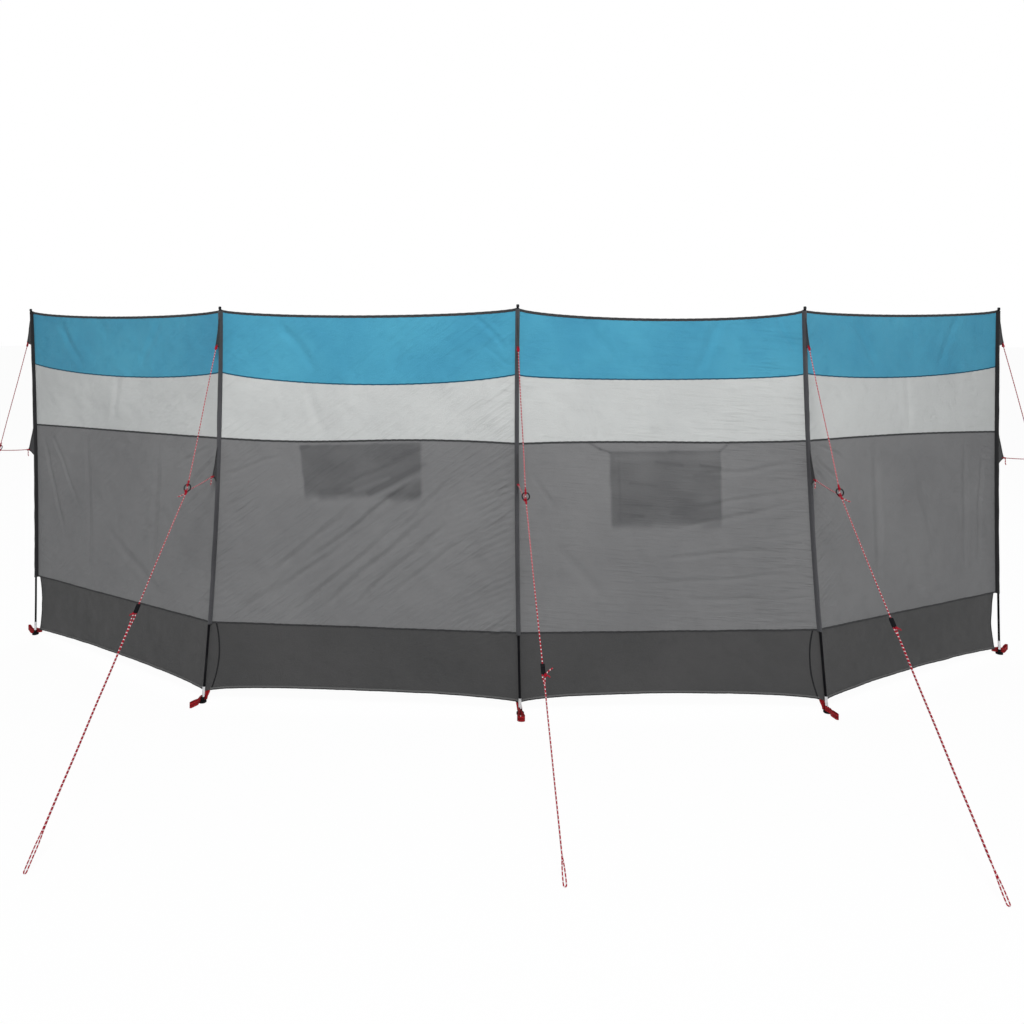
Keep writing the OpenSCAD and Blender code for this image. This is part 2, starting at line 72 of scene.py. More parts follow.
def show_white(tree, lit, white, share, surface):
    """Shows a share of white to the camera, mirrors and glass; all other light comes from lit."""
    rays = tree.nodes.new("ShaderNodeLightPath")
    seen = rays.outputs["Is Camera Ray"]
    for kind in ("Is Glossy Ray", "Is Transmission Ray"):
        either = tree.nodes.new("ShaderNodeMath")
        either.operation = "MAXIMUM"
        tree.links.new(seen, either.inputs[0])
        tree.links.new(rays.outputs[kind], either.inputs[1])
        seen = either.outputs[0]
    part = tree.nodes.new("ShaderNodeMath")
    part.operation = "MULTIPLY"
    part.inputs[1].default_value = share
    mix = tree.nodes.new("ShaderNodeMixShader")
    tree.links.new(seen, part.inputs[0])
    tree.links.new(part.outputs[0], mix.inputs["Fac"])
    tree.links.new(lit, mix.inputs[1])
    tree.links.new(white, mix.inputs[2])
    tree.links.new(mix.outputs["Shader"], surface)


show_white(sky_tree, sky_light.outputs["Background"], sky_seen.outputs["Background"], 1.0,
           sky_tree.nodes["World Output"].inputs["Surface"])


def soft_light(name, place, aim, size, power):
    light = bpy.data.lights.new(name, "AREA")
    light.shape = "DISK"
    light.size = size
    light.energy = power
    lamp = bpy.data.objects.new(name, light)
    lamp.location = place
    lamp.rotation_euler = (Vector(aim) - Vector(place)).to_track_quat("-Z", "Y").to_euler()
    bpy.context.scene.collection.objects.link(lamp)


soft_light("front_light", (0.05, -4.0, 5.0), (0, 0, 0.7), 1.8, 318)
soft_light("back_light", (0.0, 5.5, 4.0), (0, 0, 0.7), 4.0, 165)

bpy.ops.mesh.primitive_circle_add(vertices=96, radius=60, fill_type="NGON")
floor = bpy.context.object
floor.name = "studio_floor"
floor_paint = bpy.data.materials.new("floor_paint")
floor_paint.use_nodes = True
floor_tree = floor_paint.node_tree
floor_lit = floor_tree.nodes["Principled BSDF"]
floor_lit.inputs["Base Color"].default_value = (0.85, 0.85, 0.85, 1)
floor_lit.inputs["Roughness"].default_value = 0.9
floor_glow = floor_tree.nodes.new("ShaderNodeEmission")
floor_glow.inputs["Color"].default_value = (1, 1, 1, 1)
floor_glow.inputs["Strength"].default_value = 1.0
show_white(floor_tree, floor_lit.outputs["BSDF"], floor_glow.outputs["Emission"], 0.96,
           floor_tree.nodes["Material Output"].inputs["Surface"])
floor.data.materials.append(floor_paint)
floor.select_set(False)

# --- Poles -----------------------------------------------------------------------------------
# Five thin glass-fibre poles of black resin, sprung into a slight bow by the cloth. Their
# middles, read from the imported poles, place everything that is sewn or tied to them.
POLES = range(1, 6)
POLE_RINGS = 10


def corners_of(node):
    return np.array([v.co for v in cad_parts[node].data.vertices], float)


def spots_of(node):
    """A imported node's corners, each place once."""
    return np.unique(corners_of(node).round(5), axis=0)


def run_along(line):
    """Length from the start of a line of points to each of them."""
    return np.concatenate([[0], np.cumsum(np.linalg.norm(np.diff(line, axis=0), axis=1))])


def unit(way):
    """A direction, or each row of an array of them, at length 1."""
    return way / (np.linalg.norm(way) if way.ndim == 1 else np.linalg.norm(way, axis=1)[:, None])


def pole_curve(number):
    """A cubic through the middles of a pole's rings, from the length along it to the place."""
    points = spots_of(f"pole_{number}")
    low, high = points[:, 2].min(), points[:, 2].max()
    ring = np.rint((points[:, 2] - low) / (high - low) * POLE_RINGS).astype(int)
    middles = np.array([points[ring == r].mean(axis=0) for r in range(POLE_RINGS + 1)])
    return np.polyfit(middles[0][2] + run_along(middles), middles, 3)


pole_curves = {n: pole_curve(n) for n in POLES}


def on_pole(number, length):
    """Middle of a pole at a length up it, for one length or an array of them."""
    a, b, c, d = pole_curves[number]
    length = np.asarray(length, float)[..., None]
    return ((a * length + b) * length + c) * length + d


def material(name, colour, roughness, metal=0.0):
    """A new Principled material; returns it with its tree and its shader."""
    made = bpy.data.materials.new(name)
    made.use_nodes = True
    shader = made.node_tree.nodes["Principled BSDF"]
    shader.inputs["Base Color"].default_value = (*colour, 1)
    shader.inputs["Roughness"].default_value = roughness
    shader.inputs["Metallic"].default_value = metal
    return made, made.node_tree, shader


def coordinates(tree, kind, scale):
    """Object or UV coordinates times a scale, in metres."""
    source = tree.nodes.new("ShaderNodeTexCoord")
    place = tree.nodes.new("ShaderNodeMapping")
    place.inputs["Scale"].default_value = scale
    tree.links.new(source.outputs[kind], place.inputs["Vector"])
    return place.outputs["Vector"]


def noise(tree, where, scale, detail=3.0, roughness=0.5):
    made = tree.nodes.new("ShaderNodeTexNoise")
    made.inputs["Scale"].default_value = scale
    made.inputs["Detail"].default_value = detail
    made.inputs["Roughness"].default_value = roughness
    tree.links.new(where, made.inputs["Vector"])
    return made.outputs["Fac"]


def stretch(tree, value, low, high, to_low, to_high):
    made = tree.nodes.new("ShaderNodeMapRange")
    for socket, number in zip(("From Min", "From Max", "To Min", "To Max"),
                              (low, high, to_low, to_high)):
        made.inputs[socket].default_value = number
    tree.links.new(value, made.inputs["Value"])
    return made.outputs["Result"]


def sums(tree, how, one, two):
    """one how two, where either is a socket or a number."""
    made = tree.nodes.new("ShaderNodeMath")
    made.operation = how
    for socket, value in zip(made.inputs, (one, two)):
        if isinstance(value, (int, float)):
            socket.default_value = value
        else:
            tree.links.new(value, socket)
    return made.outputs["Value"]


def between(tree, share, one, two):
    """A colour from one to two; each is a colour or a socket."""
    made = tree.nodes.new("ShaderNodeMix")
    made.data_type = "RGBA"
    if isinstance(share, (int, float)):
        made.inputs["Factor"].default_value = share
    else:
        tree.links.new(share, made.inputs["Factor"])
    for socket, value in ((made.inputs[6], one), (made.inputs[7], two)):
        if isinstance(value, tuple):
            socket.default_value = (*value, 1)
        else:
            tree.links.new(value, socket)
    return made.outputs[2]


def bumped(tree, shader, height, strength, distance):
    made = tree.nodes.new("ShaderNodeBump")
    made.inputs["Strength"].default_value = strength
    made.inputs["Distance"].default_value = distance
    tree.links.new(height, made.inputs["Height"])
    tree.links.new(made.outputs["Normal"], shader.inputs["Normal"])


def pole_finish():
    """Black resin with fine lengthwise glass fibres and a few rubbed marks."""
    made, tree, shader = material("pole_resin", (0.004, 0.004, 0.005), 0.72)
    fibres = noise(tree, coordinates(tree, "Object", (900, 900, 9)), 1.0)
    rubbed = noise(tree, coordinates(tree, "Object", (30, 30, 6)), 1.0)
    tone = between(tree, stretch(tree, fibres, 0.35, 0.7, 0, 1), (0.002, 0.002, 0.003),
                   (0.006, 0.006, 0.007))
    worn = between(tree, stretch(tree, rubbed, 0.62, 0.75, 0, 1), tone, (0.012, 0.012, 0.013))
    tree.links.new(worn, shader.inputs["Base Color"])
    tree.links.new(stretch(tree, rubbed, 0.3, 0.8, 0.64, 0.82), shader.inputs["Roughness"])
    shader.inputs["Specular IOR Level"].default_value = 0.05
    bumped(tree, shader, fibres, 0.25, 0.0002)
    return made


def dress(node, finish):
    """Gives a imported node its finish."""
    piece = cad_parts[node]
    piece.data.materials.clear()
    piece.data.materials.append(finish)


pole_resin = pole_finish()
for n in POLES:
    dress(f"pole_{n}", pole_resin)

# --- Cloth -----------------------------------------------------------------------------------
# Four bays of woven polyester hang behind the poles, each sewn from a blue and a pale band, a
# grey wall and a dark flap. The poles pull the cloth tight, and its slack makes soft folds.
BAYS = range(1, 5)
cloth_depth = 0.0076
cloth_thick = 0.0005
measured_at = 0.75  # length up the poles at which a bay's width and direction are taken
weave_step = {"blue_cloth": 0.008, "pale_cloth": 0.008, "grey_cloth": 0.0055, "flap_cloth": 0.009}


def bay_direction(bay):
    run = on_pole(bay + 1, measured_at) - on_pole(bay, measured_at)
    run[2] = 0
    return unit(run)


def behind(bay):
    """Level direction away from the sleeves, square to a bay."""
    x, y, _ = bay_direction(bay)
    return np.array([-y, x, 0])


def bay_span(bay):
    return np.linalg.norm((on_pole(bay + 1, measured_at) - on_pole(bay, measured_at))[:2])


def share_across(bay, points):
    """Where points lie across a bay, from 0 at its left pole to 1 at its right one."""
    return (points - on_pole(bay, measured_at)) @ bay_direction(bay) / bay_span(bay)


def mitre(number):
    """Offset behind a pole at which both bays there lie one unit behind it."""
    left, right = behind(max(number - 1, 1)), behind(min(number, 4))
    return (left + right) / (1 + left @ right)


def edge_at_pole(node, number, reach=0.016):
    """Lowest and highest length up a pole of a packed band's corners near it."""
    steps = np.linspace(0, 1.5, 1501)  # every millimetre up the pole
    line = on_pole(number, steps)
    points = spots_of(node)
    away = np.linalg.norm(points[:, None] - line[None], axis=2)
    spots = steps[away.argmin(axis=1)][away.min(axis=1) < reach]
    return spots.min(), spots.max()


def drop_in_middle(node, side, ends):
    """How far a band's low or high edge hangs in mid bay below its level at the poles."""
    bay = int(node[-1])
    points = corners_of(node)
    middle = points[abs(share_across(bay, points) - 0.5) < 0.03][:, 2]
    level = (on_pole(bay, ends[0])[2] + on_pole(bay + 1, ends[1])[2]) / 2
    return level - (middle.min() if side == "low" else middle.max())


# Length up each pole of every seam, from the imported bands, and its drop in each bay
near = {n: min(n, 4) for n in POLES}
seam_up = {
    "hem": {n: edge_at_pole("top_hem", n)[1] for n in POLES},
    "blue": {n: edge_at_pole(f"blue_band_{near[n]}", n)[0] for n in POLES},
    "grey": {n: edge_at_pole(f"pale_band_{near[n]}", n)[0] for n in POLES},
    "flap": {n: edge_at_pole(f"wall_panel_{near[n]}", n)[0] for n in POLES},
    "foot": {n: edge_at_pole(f"ground_flap_{(1, 1, 2, 4, 4)[n - 1]}", n, 0.03)[0] for n in POLES},
}


def ends_of(seam, bay):
    return seam_up[seam][bay], seam_up[seam][bay + 1]


hem_lap = 0.009  # height of the top hem, which stands above the blue band's own edge
seam_drop = {
    "hem": {k: drop_in_middle(f"blue_band_{k}", "high", ends_of("hem", k)) - hem_lap
            for k in BAYS},
    "blue": {k: drop_in_middle(f"blue_band_{k}", "low", ends_of("blue", k)) for k in BAYS},
    "grey": {1: 0, 2: 0, 3: 0, 4: -0.007},
    "flap": {k: 0 for k in BAYS},
    "foot": {k: drop_in_middle(f"ground_flap_{k}", "low", ends_of("foot", k)) for k in BAYS},
}
# The fuller the curve, the smaller the power; the grey seam of the middle bays also waves
drop_power = {"hem": (0.6,) * 4, "blue": (0.8, 0.8, 0.45, 0.8), "grey": (1,) * 4,
              "flap": (1,) * 4, "foot": (0.55,) * 4}
grey_wave = {1: 0.0, 2: -0.007, 3: 0.003, 4: 0.0}


def smooth(low, high, value):
    share = np.clip((np.asarray(value, float) - low) / (high - low), 0, 1)
    return share * share * (3 - 2 * share)


def seam_place(seam, bay, share):
    """Middle of a seam, before any depth: an array of points."""
    share = np.asarray(share, float)
    inside = np.clip(share, 0, 1)
    left, right = ends_of(seam, bay)
    start, stop = on_pole(bay, left), on_pole(bay + 1, right)
    line = start * (1 - share[..., None]) + stop * share[..., None]
    power = drop_power[seam][bay - 1]
    dip = seam_drop[seam][bay] * (4 * inside * (1 - inside)) ** power
    if seam == "grey":
        dip = dip - grey_wave[bay] * np.sin(2 * math.pi * inside)
    line[..., 2] -= dip
    return line


LATTICE = 61
fold_lattice = np.random.default_rng(23).random((LATTICE, LATTICE)) * 2 - 1


def drift(x, y):
    """Smooth seeded noise between -1 and 1, with a bump about every unit."""
    x, y = np.broadcast_arrays(np.asarray(x, float), np.asarray(y, float))
    i, j = np.floor(x).astype(int), np.floor(y).astype(int)
    s, t = smooth(0, 1, x - i), smooth(0, 1, y - j)
    a, b, c, d = (fold_lattice[(i + right) % LATTICE, (j + over) % LATTICE]
                  for right, over in ((0, 0), (1, 0), (0, 1), (1, 1)))
    return (a * (1 - s) + b * s) * (1 - t) + (c * (1 - s) + d * s) * t


# Creases, each from one end to the other as share and height, with its width and depth in mm
CREASES = {
    1: [(0.05, 0.90, 0.20, 0.48, 16, 2.2), (0.10, 0.93, 0.28, 0.62, 14, 1.4),
        (0.32, 0.97, 0.34, 0.32, 22, 1.8), (0.71, 0.95, 0.70, 0.40, 24, 1.6),
        (0.98, 0.91, 0.84, 0.76, 10, 1.5), (0.99, 0.87, 0.86, 0.70, 9, 1.2),
        (0.97, 0.96, 0.80, 0.86, 10, 1.2), (0.45, 0.55, 0.75, 0.34, 26, 1.4),
        (0.50, 1.22, 0.46, 0.99, 24, 1.0), (0.16, 1.44, 0.30, 1.24, 26, 1.3),
        (0.72, 1.45, 0.60, 1.24, 26, 1.2)],
    2: [(0.17, 0.37, 0.50, 0.66, 18, 2.4), (0.30, 0.52, 0.70, 0.87, 14, 2.8),
        (0.27, 0.34, 0.62, 0.68, 15, 2.2), (0.36, 0.34, 0.72, 0.73, 16, 2.4),
        (0.20, 0.48, 0.46, 0.74, 14, 1.9),
        (0.46, 0.36, 0.78, 0.70, 14, 2.0), (0.58, 0.40, 0.86, 0.66, 12, 1.7),
        (0.10, 0.33, 0.30, 0.52, 14, 1.5), (0.62, 0.66, 0.80, 0.86, 12, 1.5),
        (0.03, 0.84, 0.22, 0.93, 10, 1.2), (0.40, 0.80, 0.66, 0.93, 14, 1.2),
        (0.30, 1.21, 0.36, 1.00, 26, 1.0), (0.20, 1.44, 0.34, 1.24, 26, 1.5),
        (0.66, 1.45, 0.58, 1.23, 24, 1.4), (0.86, 1.46, 0.97, 1.33, 12, 1.4),
        (0.90, 1.34, 0.99, 1.27, 9, 1.0)],
    3: [(0.50, 0.66, 0.94, 0.75, 13, 1.3), (0.48, 0.56, 0.97, 0.60, 12, 1.1),
        (0.44, 0.47, 0.95, 0.50, 12, 0.9), (0.52, 0.41, 0.92, 0.40, 12, 0.8),
        (0.55, 0.74, 0.97, 0.80, 11, 1.1), (0.12, 0.62, 0.30, 0.40, 26, 1.3),
        (0.60, 0.86, 0.96, 0.90, 12, 1.3), (0.05, 0.88, 0.12, 0.74, 14, 1.0),
        (0.24, 1.21, 0.28, 1.00, 24, 1.0), (0.22, 1.45, 0.36, 1.25, 26, 1.4),
        (0.70, 1.45, 0.62, 1.24, 26, 1.3), (0.90, 1.45, 0.98, 1.30, 14, 1.2)],
    4: [(0.33, 0.97, 0.31, 0.34, 26, 1.9), (0.82, 0.94, 0.80, 0.38, 20, 2.0),
        (0.92, 0.88, 0.88, 0.42, 16, 1.9), (0.03, 0.93, 0.14, 0.82, 9, 1.6),
        (0.02, 0.88, 0.12, 0.76, 9, 1.3), (0.04, 0.97, 0.18, 0.90, 9, 1.2),
        (0.55, 0.80, 0.66, 0.40, 28, 1.4), (0.50, 1.22, 0.52, 1.00, 24, 1.0),
        (0.24, 1.44, 0.36, 1.24, 24, 1.2), (0.78, 1.46, 0.66, 1.24, 26, 1.3)],
}
# Puckers that fan out of a sleeve: lowest and highest level, reach, slope, pitch and depth, mm
PUCKERS = {
    (1, "left"): [(0.30, 0.94, 60, 0.3, 34, 0.5), (1.26, 1.46, 60, 0.5, 34, 0.4)],
    (1, "right"): [(0.66, 0.96, 110, 0.8, 27, 0.7), (0.30, 0.60, 50, 0.2, 30, 0.4)],
    (2, "left"): [(0.30, 0.95, 70, -0.2, 30, 0.6), (1.26, 1.46, 70, 0.6, 30, 0.4)],
    (2, "right"): [(0.28, 0.90, 200, 0.42, 24, 1.1), (1.27, 1.47, 70, 0.7, 24, 0.6)],
    (3, "left"): [(0.30, 0.90, 50, 0.1, 30, 0.4), (1.27, 1.46, 60, 0.5, 28, 0.4)],
    (3, "right"): [(0.30, 0.86, 300, 0.10, 29, 0.55), (1.27, 1.46, 70, 0.6, 28, 0.5)],
    (4, "left"): [(0.70, 0.97, 80, 0.9, 25, 0.7), (1.27, 1.46, 60, 0.5, 28, 0.4)],
    (4, "right"): [(0.32, 0.90, 90, -0.4, 32, 0.6), (1.27, 1.46, 60, 0.5, 30, 0.4)],
}


def slack(bay, share, height):
    """How far the cloth stands back from its plane, in metres."""
    share, height = np.broadcast_arrays(np.asarray(share, float), np.asarray(height, float))
    span = bay_span(bay)
    run = share * span
    away = np.minimum(run, span - run)
    free = smooth(0.004, 0.05, away)
    deep = 0.0040 * np.sin(math.pi * np.clip(share, 0, 1)) * drift(share * 2 + bay * 7, height * 2)
    deep = deep + 0.0024 * drift(run * 7 + bay * 11, height * 6 + 3)
    lean = run * 0.7 + height * 0.7
    deep = deep + 0.0014 * drift(lean * 24 + bay * 5, (height - run) * 9)
    deep = deep + 0.0006 * drift(run * 47 + 9, height * 41 + bay * 3)
    for s0, h0, s1, h1, width, depth in CREASES[bay]:
        start = np.array([s0 * span, h0])
        way = np.array([s1 * span, h1]) - start
        long = np.linalg.norm(way)
        way = way / long
        x, y = run - start[0], height - start[1]
        t = (x * way[0] + y * way[1]) / long
        bend = 0.010 * drift(t * 3 + depth * 5, np.full_like(t, s0 * 19))
        side = (y * way[0] - x * way[1] + bend) / (width / 1000)
        ends = smooth(-0.08, 0.25, t) * smooth(1.08, 0.7, t)
        deep = deep + 3.0 * depth / 1000 * ends * (1 - 1.2 * side ** 2) * np.exp(-side ** 2)
    for side_name, from_pole in (("left", run), ("right", span - run)):
        for low, high, reach, slope, pitch, depth in PUCKERS[(bay, side_name)]:
            level = height + slope * from_pole
            wander = 1.3 * drift(height * 13 + bay, from_pole * 7 + low * 31)
            wave = np.sin(2 * math.pi * level / (pitch / 1000) + wander)
            wave = 0.75 * (2 * (0.5 + 0.5 * wave) ** 2.4 - 0.7) + 0.35 * np.sin(
                2 * math.pi * level / (pitch / 1700) + 2.1 * wander + 9 * from_pole)
            band = smooth(low - 0.05, low + 0.05, level) * smooth(high + 0.05, high - 0.05, level)
            strong = 0.6 + 0.6 * drift(level * 19 + 40, from_pole * 3 + bay)
            fade = np.exp(-np.maximum(from_pole, 0) / (reach / 1000))
            grip = 1 - np.exp(-from_pole / 0.012)
            deep = deep + 3.4 * depth / 1000 * wave * band * strong * fade * grip
    return deep * free


def set_back(bay, share, line, depth, back):
    """Points moved behind the poles by a depth, and by how far the cloth stands back there."""
    share = share[..., None]
    corner = mitre(bay) * (1 - share) + mitre(bay + 1) * share
    return line + corner * depth + behind(bay) * back[..., None]


def cloth_place(bay, share, above, below, part, depth):
    """Points of a bay, part of the way from an upper seam down to a lower one."""
    share, part = np.broadcast_arrays(np.asarray(share, float), np.asarray(part, float))
    top, low = seam_place(above, bay, share), seam_place(below, bay, share)
    flat = top * (1 - part[..., None]) + low * part[..., None]
    span = bay_span(bay)
    tight = np.minimum(abs(flat[..., 2] - top[..., 2]), abs(flat[..., 2] - low[..., 2]))
    pucker = 0.0004 * np.sin(share * span / 0.026 * 2 * math.pi
                             + 2.5 * drift(share * span * 14, flat[..., 2] * 3))
    from_pole = np.minimum(share, 1 - share) * span
    pucker = pucker * np.exp(-tight / 0.014) * smooth(0.0, 0.03, from_pole)
    return set_back(bay, share, flat, depth, slack(bay, share, flat[..., 2]) + pucker)


def shape_grid(name, points, mapped):
    """A grid plane whose corners are moved to points[column][row], with its UV in metres."""
    columns, rows = points.shape[0] - 1, points.shape[1] - 1
    bpy.ops.mesh.primitive_grid_add(x_subdivisions=columns, y_subdivisions=rows, size=2)
    piece = bpy.context.object
    piece.name = name
    piece.data.name = name
    mesh = piece.data
    flat = np.empty(len(mesh.vertices) * 3)
    mesh.vertices.foreach_get("co", flat)
    i = np.rint((flat[0::3] + 1) / 2 * columns).astype(int)
    j = np.rint((flat[1::3] + 1) / 2 * rows).astype(int)
    mesh.vertices.foreach_set("co", points[i, j].ravel())
    loops = np.empty(len(mesh.loops), int)
    mesh.loops.foreach_get("vertex_index", loops)
    if not mesh.uv_layers:
        mesh.uv_layers.new(name="UVMap")
    mesh.uv_layers[0].data.foreach_set("uv", mapped[i, j][loops].ravel())
    mesh.update()
    return piece


def thicken(piece, thickness):
    solid = piece.modifiers.new("thickness", "SOLIDIFY")
    solid.thickness = thickness
    solid.offset = 0
    bpy.ops.object.modifier_apply(modifier=solid.name)


def put_away(piece, finish):
    """Smooth shading, finish, slot and body of a finished piece."""
    bpy.ops.object.shade_smooth_by_angle(angle=math.radians(40))
    piece.data.materials.append(finish)
    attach(piece, "root")
    piece.select_set(False)


def rescaled(tree, where, scale, turn):
    """Coordinates turned about Z by some degrees, and then scaled."""
    turned = tree.nodes.new("ShaderNodeMapping")
    turned.inputs["Rotation"].default_value = (0, 0, math.radians(-turn))
    tree.links.new(where, turned.inputs["Vector"])
    sized = tree.nodes.new("ShaderNodeMapping")
    sized.inputs["Scale"].default_value = scale
    tree.links.new(turned.outputs["Vector"], sized.inputs["Vector"])
    return sized.outputs["Vector"]


def woven(name, light, dark, roughness, sheen, thread, patch=None, crumple=0.6):
    """Plain-woven polyester: crossing threads, faint crinkles, fine creases darkened with painted
    shade, smudges, a soft sheen, and where asked the painted shadow of a pocket behind.
    """
    made, tree, shader = material(name, light, roughness)
    shader.inputs["Sheen Weight"].default_value = sheen
    shader.inputs["Sheen Roughness"].default_value = 0.5
    shader.inputs["Specular IOR Level"].default_value = 0.12
    flat = coordinates(tree, "UV", (1, 1, 1))
    solid = coordinates(tree, "Object", (1, 1, 1))
    warp = tree.nodes.new("ShaderNodeTexWave")
    weft = tree.nodes.new("ShaderNodeTexWave")
    warp.bands_direction, weft.bands_direction = "X", "Y"
    for wave in (warp, weft):
        wave.inputs["Scale"].default_value = thread
        wave.inputs["Distortion"].default_value = 0.6
        wave.inputs["Detail"].default_value = 1.0
        tree.links.new(flat, wave.inputs["Vector"])
    threads = sums(tree, "MULTIPLY", warp.outputs["Fac"], weft.outputs["Fac"])
    cloud = noise(tree, solid, 3.0, 4.0, 0.55)
    smudge = noise(tree, solid, 17.0, 5.0, 0.6)
    crinkle = noise(tree, coordinates(tree, "Object", (60, 60, 95)), 1.0, 4.0, 0.6)
    tone = between(tree, stretch(tree, cloud, 0.32, 0.68, 0, 1), dark, light)
    smudged = tuple(c * 0.90 for c in dark)
    tone = between(tree, stretch(tree, smudge, 0.56, 0.80, 0, 0.5), tone, smudged)
    # Fine creases a hand long, of which an attribute gives the share that lies level
    lie = tree.nodes.new("ShaderNodeAttribute")
    lie.attribute_name = "level_creases"
    slanted = noise(tree, rescaled(tree, flat, (6.5, 62, 1), 36), 1.0, 2.5, 0.55)
    level = noise(tree, rescaled(tree, flat, (6, 66, 1), -5), 1.0, 2.5, 0.55)
    slanted = stretch(tree, slanted, 0.46, 0.72, 0, 1)
    level = stretch(tree, level, 0.46, 0.72, 0, 1)
    fine = sums(tree, "ADD", sums(tree, "MULTIPLY", level, lie.outputs["Fac"]),
                sums(tree, "MULTIPLY", slanted, sums(tree, "SUBTRACT", 1.0, lie.outputs["Fac"])))
    crumpled = tree.nodes.new("ShaderNodeAttribute")
    crumpled.attribute_name = "crumpled"
    patchy = stretch(tree, noise(tree, solid, 7.0, 2.0), 0.40, 0.60, 0.35, 1.1)
    fine = sums(tree, "MULTIPLY", sums(tree, "MULTIPLY", fine, patchy), crumpled.outputs["Fac"])
    grain = tuple(min(c * 1.10, 1) for c in light)
    tone = between(tree, stretch(tree, threads, 0.0, 1.0, 0, 0.35), tone, grain)
    # Painted shade: the colour darkens towards black, by up to a tenth, in the fine creases.
    tone = between(tree, stretch(tree, fine, 0.0, 0.7, 0, 0.10), tone, (0.0, 0.0, 0.0))
    # Painted shade: an attribute darkens the colour where a pocket lies behind the wall.
    if patch:
        behind_it = tree.nodes.new("ShaderNodeAttribute")
        behind_it.attribute_name = patch
        shaded = between(tree, 0.44, tone, (0.0, 0.0, 0.004))
        tone = between(tree, behind_it.outputs["Fac"], tone, shaded)
    tree.links.new(tone, shader.inputs["Base Color"])
    tree.links.new(stretch(tree, smudge, 0.3, 0.7, roughness - 0.07, roughness + 0.07),
                   shader.inputs["Roughness"])
    relief = sums(tree, "ADD", sums(tree, "MULTIPLY", threads, 0.10),
                  sums(tree, "MULTIPLY", crinkle, 0.35))
    relief = sums(tree, "ADD", relief, sums(tree, "MULTIPLY", fine, crumple))
    bumped(tree, shader, relief, 0.9, 0.0042)
    return made


blue_weave = woven("blue_weave", (0.072, 0.335, 0.480), (0.050, 0.262, 0.405), 0.60, 0.04, 420,
                   crumple=0.45)
pale_weave = woven("pale_weave", (0.550, 0.562, 0.550), (0.490, 0.501, 0.493), 0.66, 0.06, 420,
                   crumple=0.6)
wall_weave = woven("wall_weave", (0.190, 0.190, 0.191), (0.164, 0.164, 0.166), 0.64, 0.06, 420,
                   "pocket_shadow", 1.0)
flap_weave = woven("flap_weave", (0.065, 0.064, 0.064), (0.054, 0.054, 0.054), 0.55, 0.03, 300,
                   crumple=0.35)

# Painted shadow where a rear pocket shows through a wall: corners as share and height, and each
# side's softness
POCKET_SHADOWS = {
    2: (((0.281, 0.966), (0.690, 0.986), (0.692, 0.776), (0.303, 0.772)),
        (0.004, 0.008, 0.020, 0.005)),
    3: (((0.312, 0.953), (0.692, 0.953), (0.686, 0.680), (0.314, 0.676)),
        (0.005, 0.007, 0.020, 0.006)),
}
# Painted shade on a wall along folds that lift it off a pocket (less dark) or press it on (darker),
# and along the pocket's hem and corner gathers, as from and to (share, level), half width in mm and
# darkness added
POCKET_FOLDS = {
    2: [(0.50, 0.757, 0.700, 0.872, 11, -0.75), (0.42, 0.775, 0.58, 0.850, 8, -0.35),
        (0.52, 0.790, 0.70, 0.905, 8, 0.40), (0.36, 0.790, 0.46, 0.800, 10, 0.30),
        (0.283, 0.955, 0.31, 0.965, 6, 0.40), (0.60, 0.925, 0.69, 0.965, 6, 0.35),
        (0.655, 0.775, 0.69, 0.800, 8, 0.25)],
    3: [(0.240, 0.990, 0.280, 0.965, 3, 0.85), (0.280, 0.965, 0.312, 0.953, 3, 0.85),
        (0.692, 0.953, 0.716, 0.975, 3, 0.75), (0.716, 0.975, 0.745, 0.984, 3, 0.45),
        (0.312, 0.953, 0.692, 0.953, 3, 0.35), (0.342, 0.950, 0.345, 0.700, 3, 0.20),
        (0.690, 0.950, 0.686, 0.700, 3, 0.35), (0.340, 0.930, 0.690, 0.930, 12, -0.30),
        (0.520, 0.660, 0.700, 0.705, 9, -0.45), (0.47, 0.915, 0.56, 0.900, 4, 0.30),
        (0.38, 0.838, 0.47, 0.826, 4, 0.25), (0.36, 0.765, 0.45, 0.752, 4, 0.25),
        (0.62, 0.900, 0.69, 0.890, 4, 0.35), (0.60, 0.862, 0.69, 0.858, 4, 0.25),
        (0.52, 0.725, 0.69, 0.760, 5, 0.30), (0.34, 0.720, 0.42, 0.716, 5, 0.25)],
}


def pocket_shadow(bay, share, height):
    """Painted shade from the pocket behind on each point of a wall, from 0 to 1."""
    if bay not in POCKET_SHADOWS:
        return np.zeros(share.shape)
    corners, softness = POCKET_SHADOWS[bay]
    span = bay_span(bay)
    corners = [np.array([s * span, h]) for s, h in corners]
    spot = np.stack([share * span, height], axis=-1)
    dark = 0.82 + 0.18 * drift(share * 14 + bay, height * 17)
    for start, stop, soft in zip(corners, corners[1:] + corners[:1], softness):
        way = unit(stop - start)
        inside = (spot - start) @ np.array([way[1], -way[0]])
        inside = inside + 0.4 * soft * drift(share * 30, height * 30 + bay)
        dark = dark * smooth(-soft, soft, inside)
    for s0, h0, s1, h1, half, more in POCKET_FOLDS[bay]:
        start = np.array([s0 * span, h0])
        way = np.array([s1 * span, h1]) - start
        t = np.clip((spot - start) @ way / (way @ way), 0, 1)
        off = np.linalg.norm(spot - start - t[..., None] * way, axis=-1) / (half / 1000)
        added = more * np.exp(-0.7 * off ** 2)
        dark = dark + (added * dark if more < 0 else added)
    return np.clip(dark, 0, 1.25)


def crease_lie(bay, share):
    """Share of the fine creases that lie level; the others slant up to the right."""
    base = {1: 0.25, 2: 0.10, 3: 0.95, 4: 0.45}[bay]
    return np.clip(base + 0.35 * (share - 0.5), 0, 1)


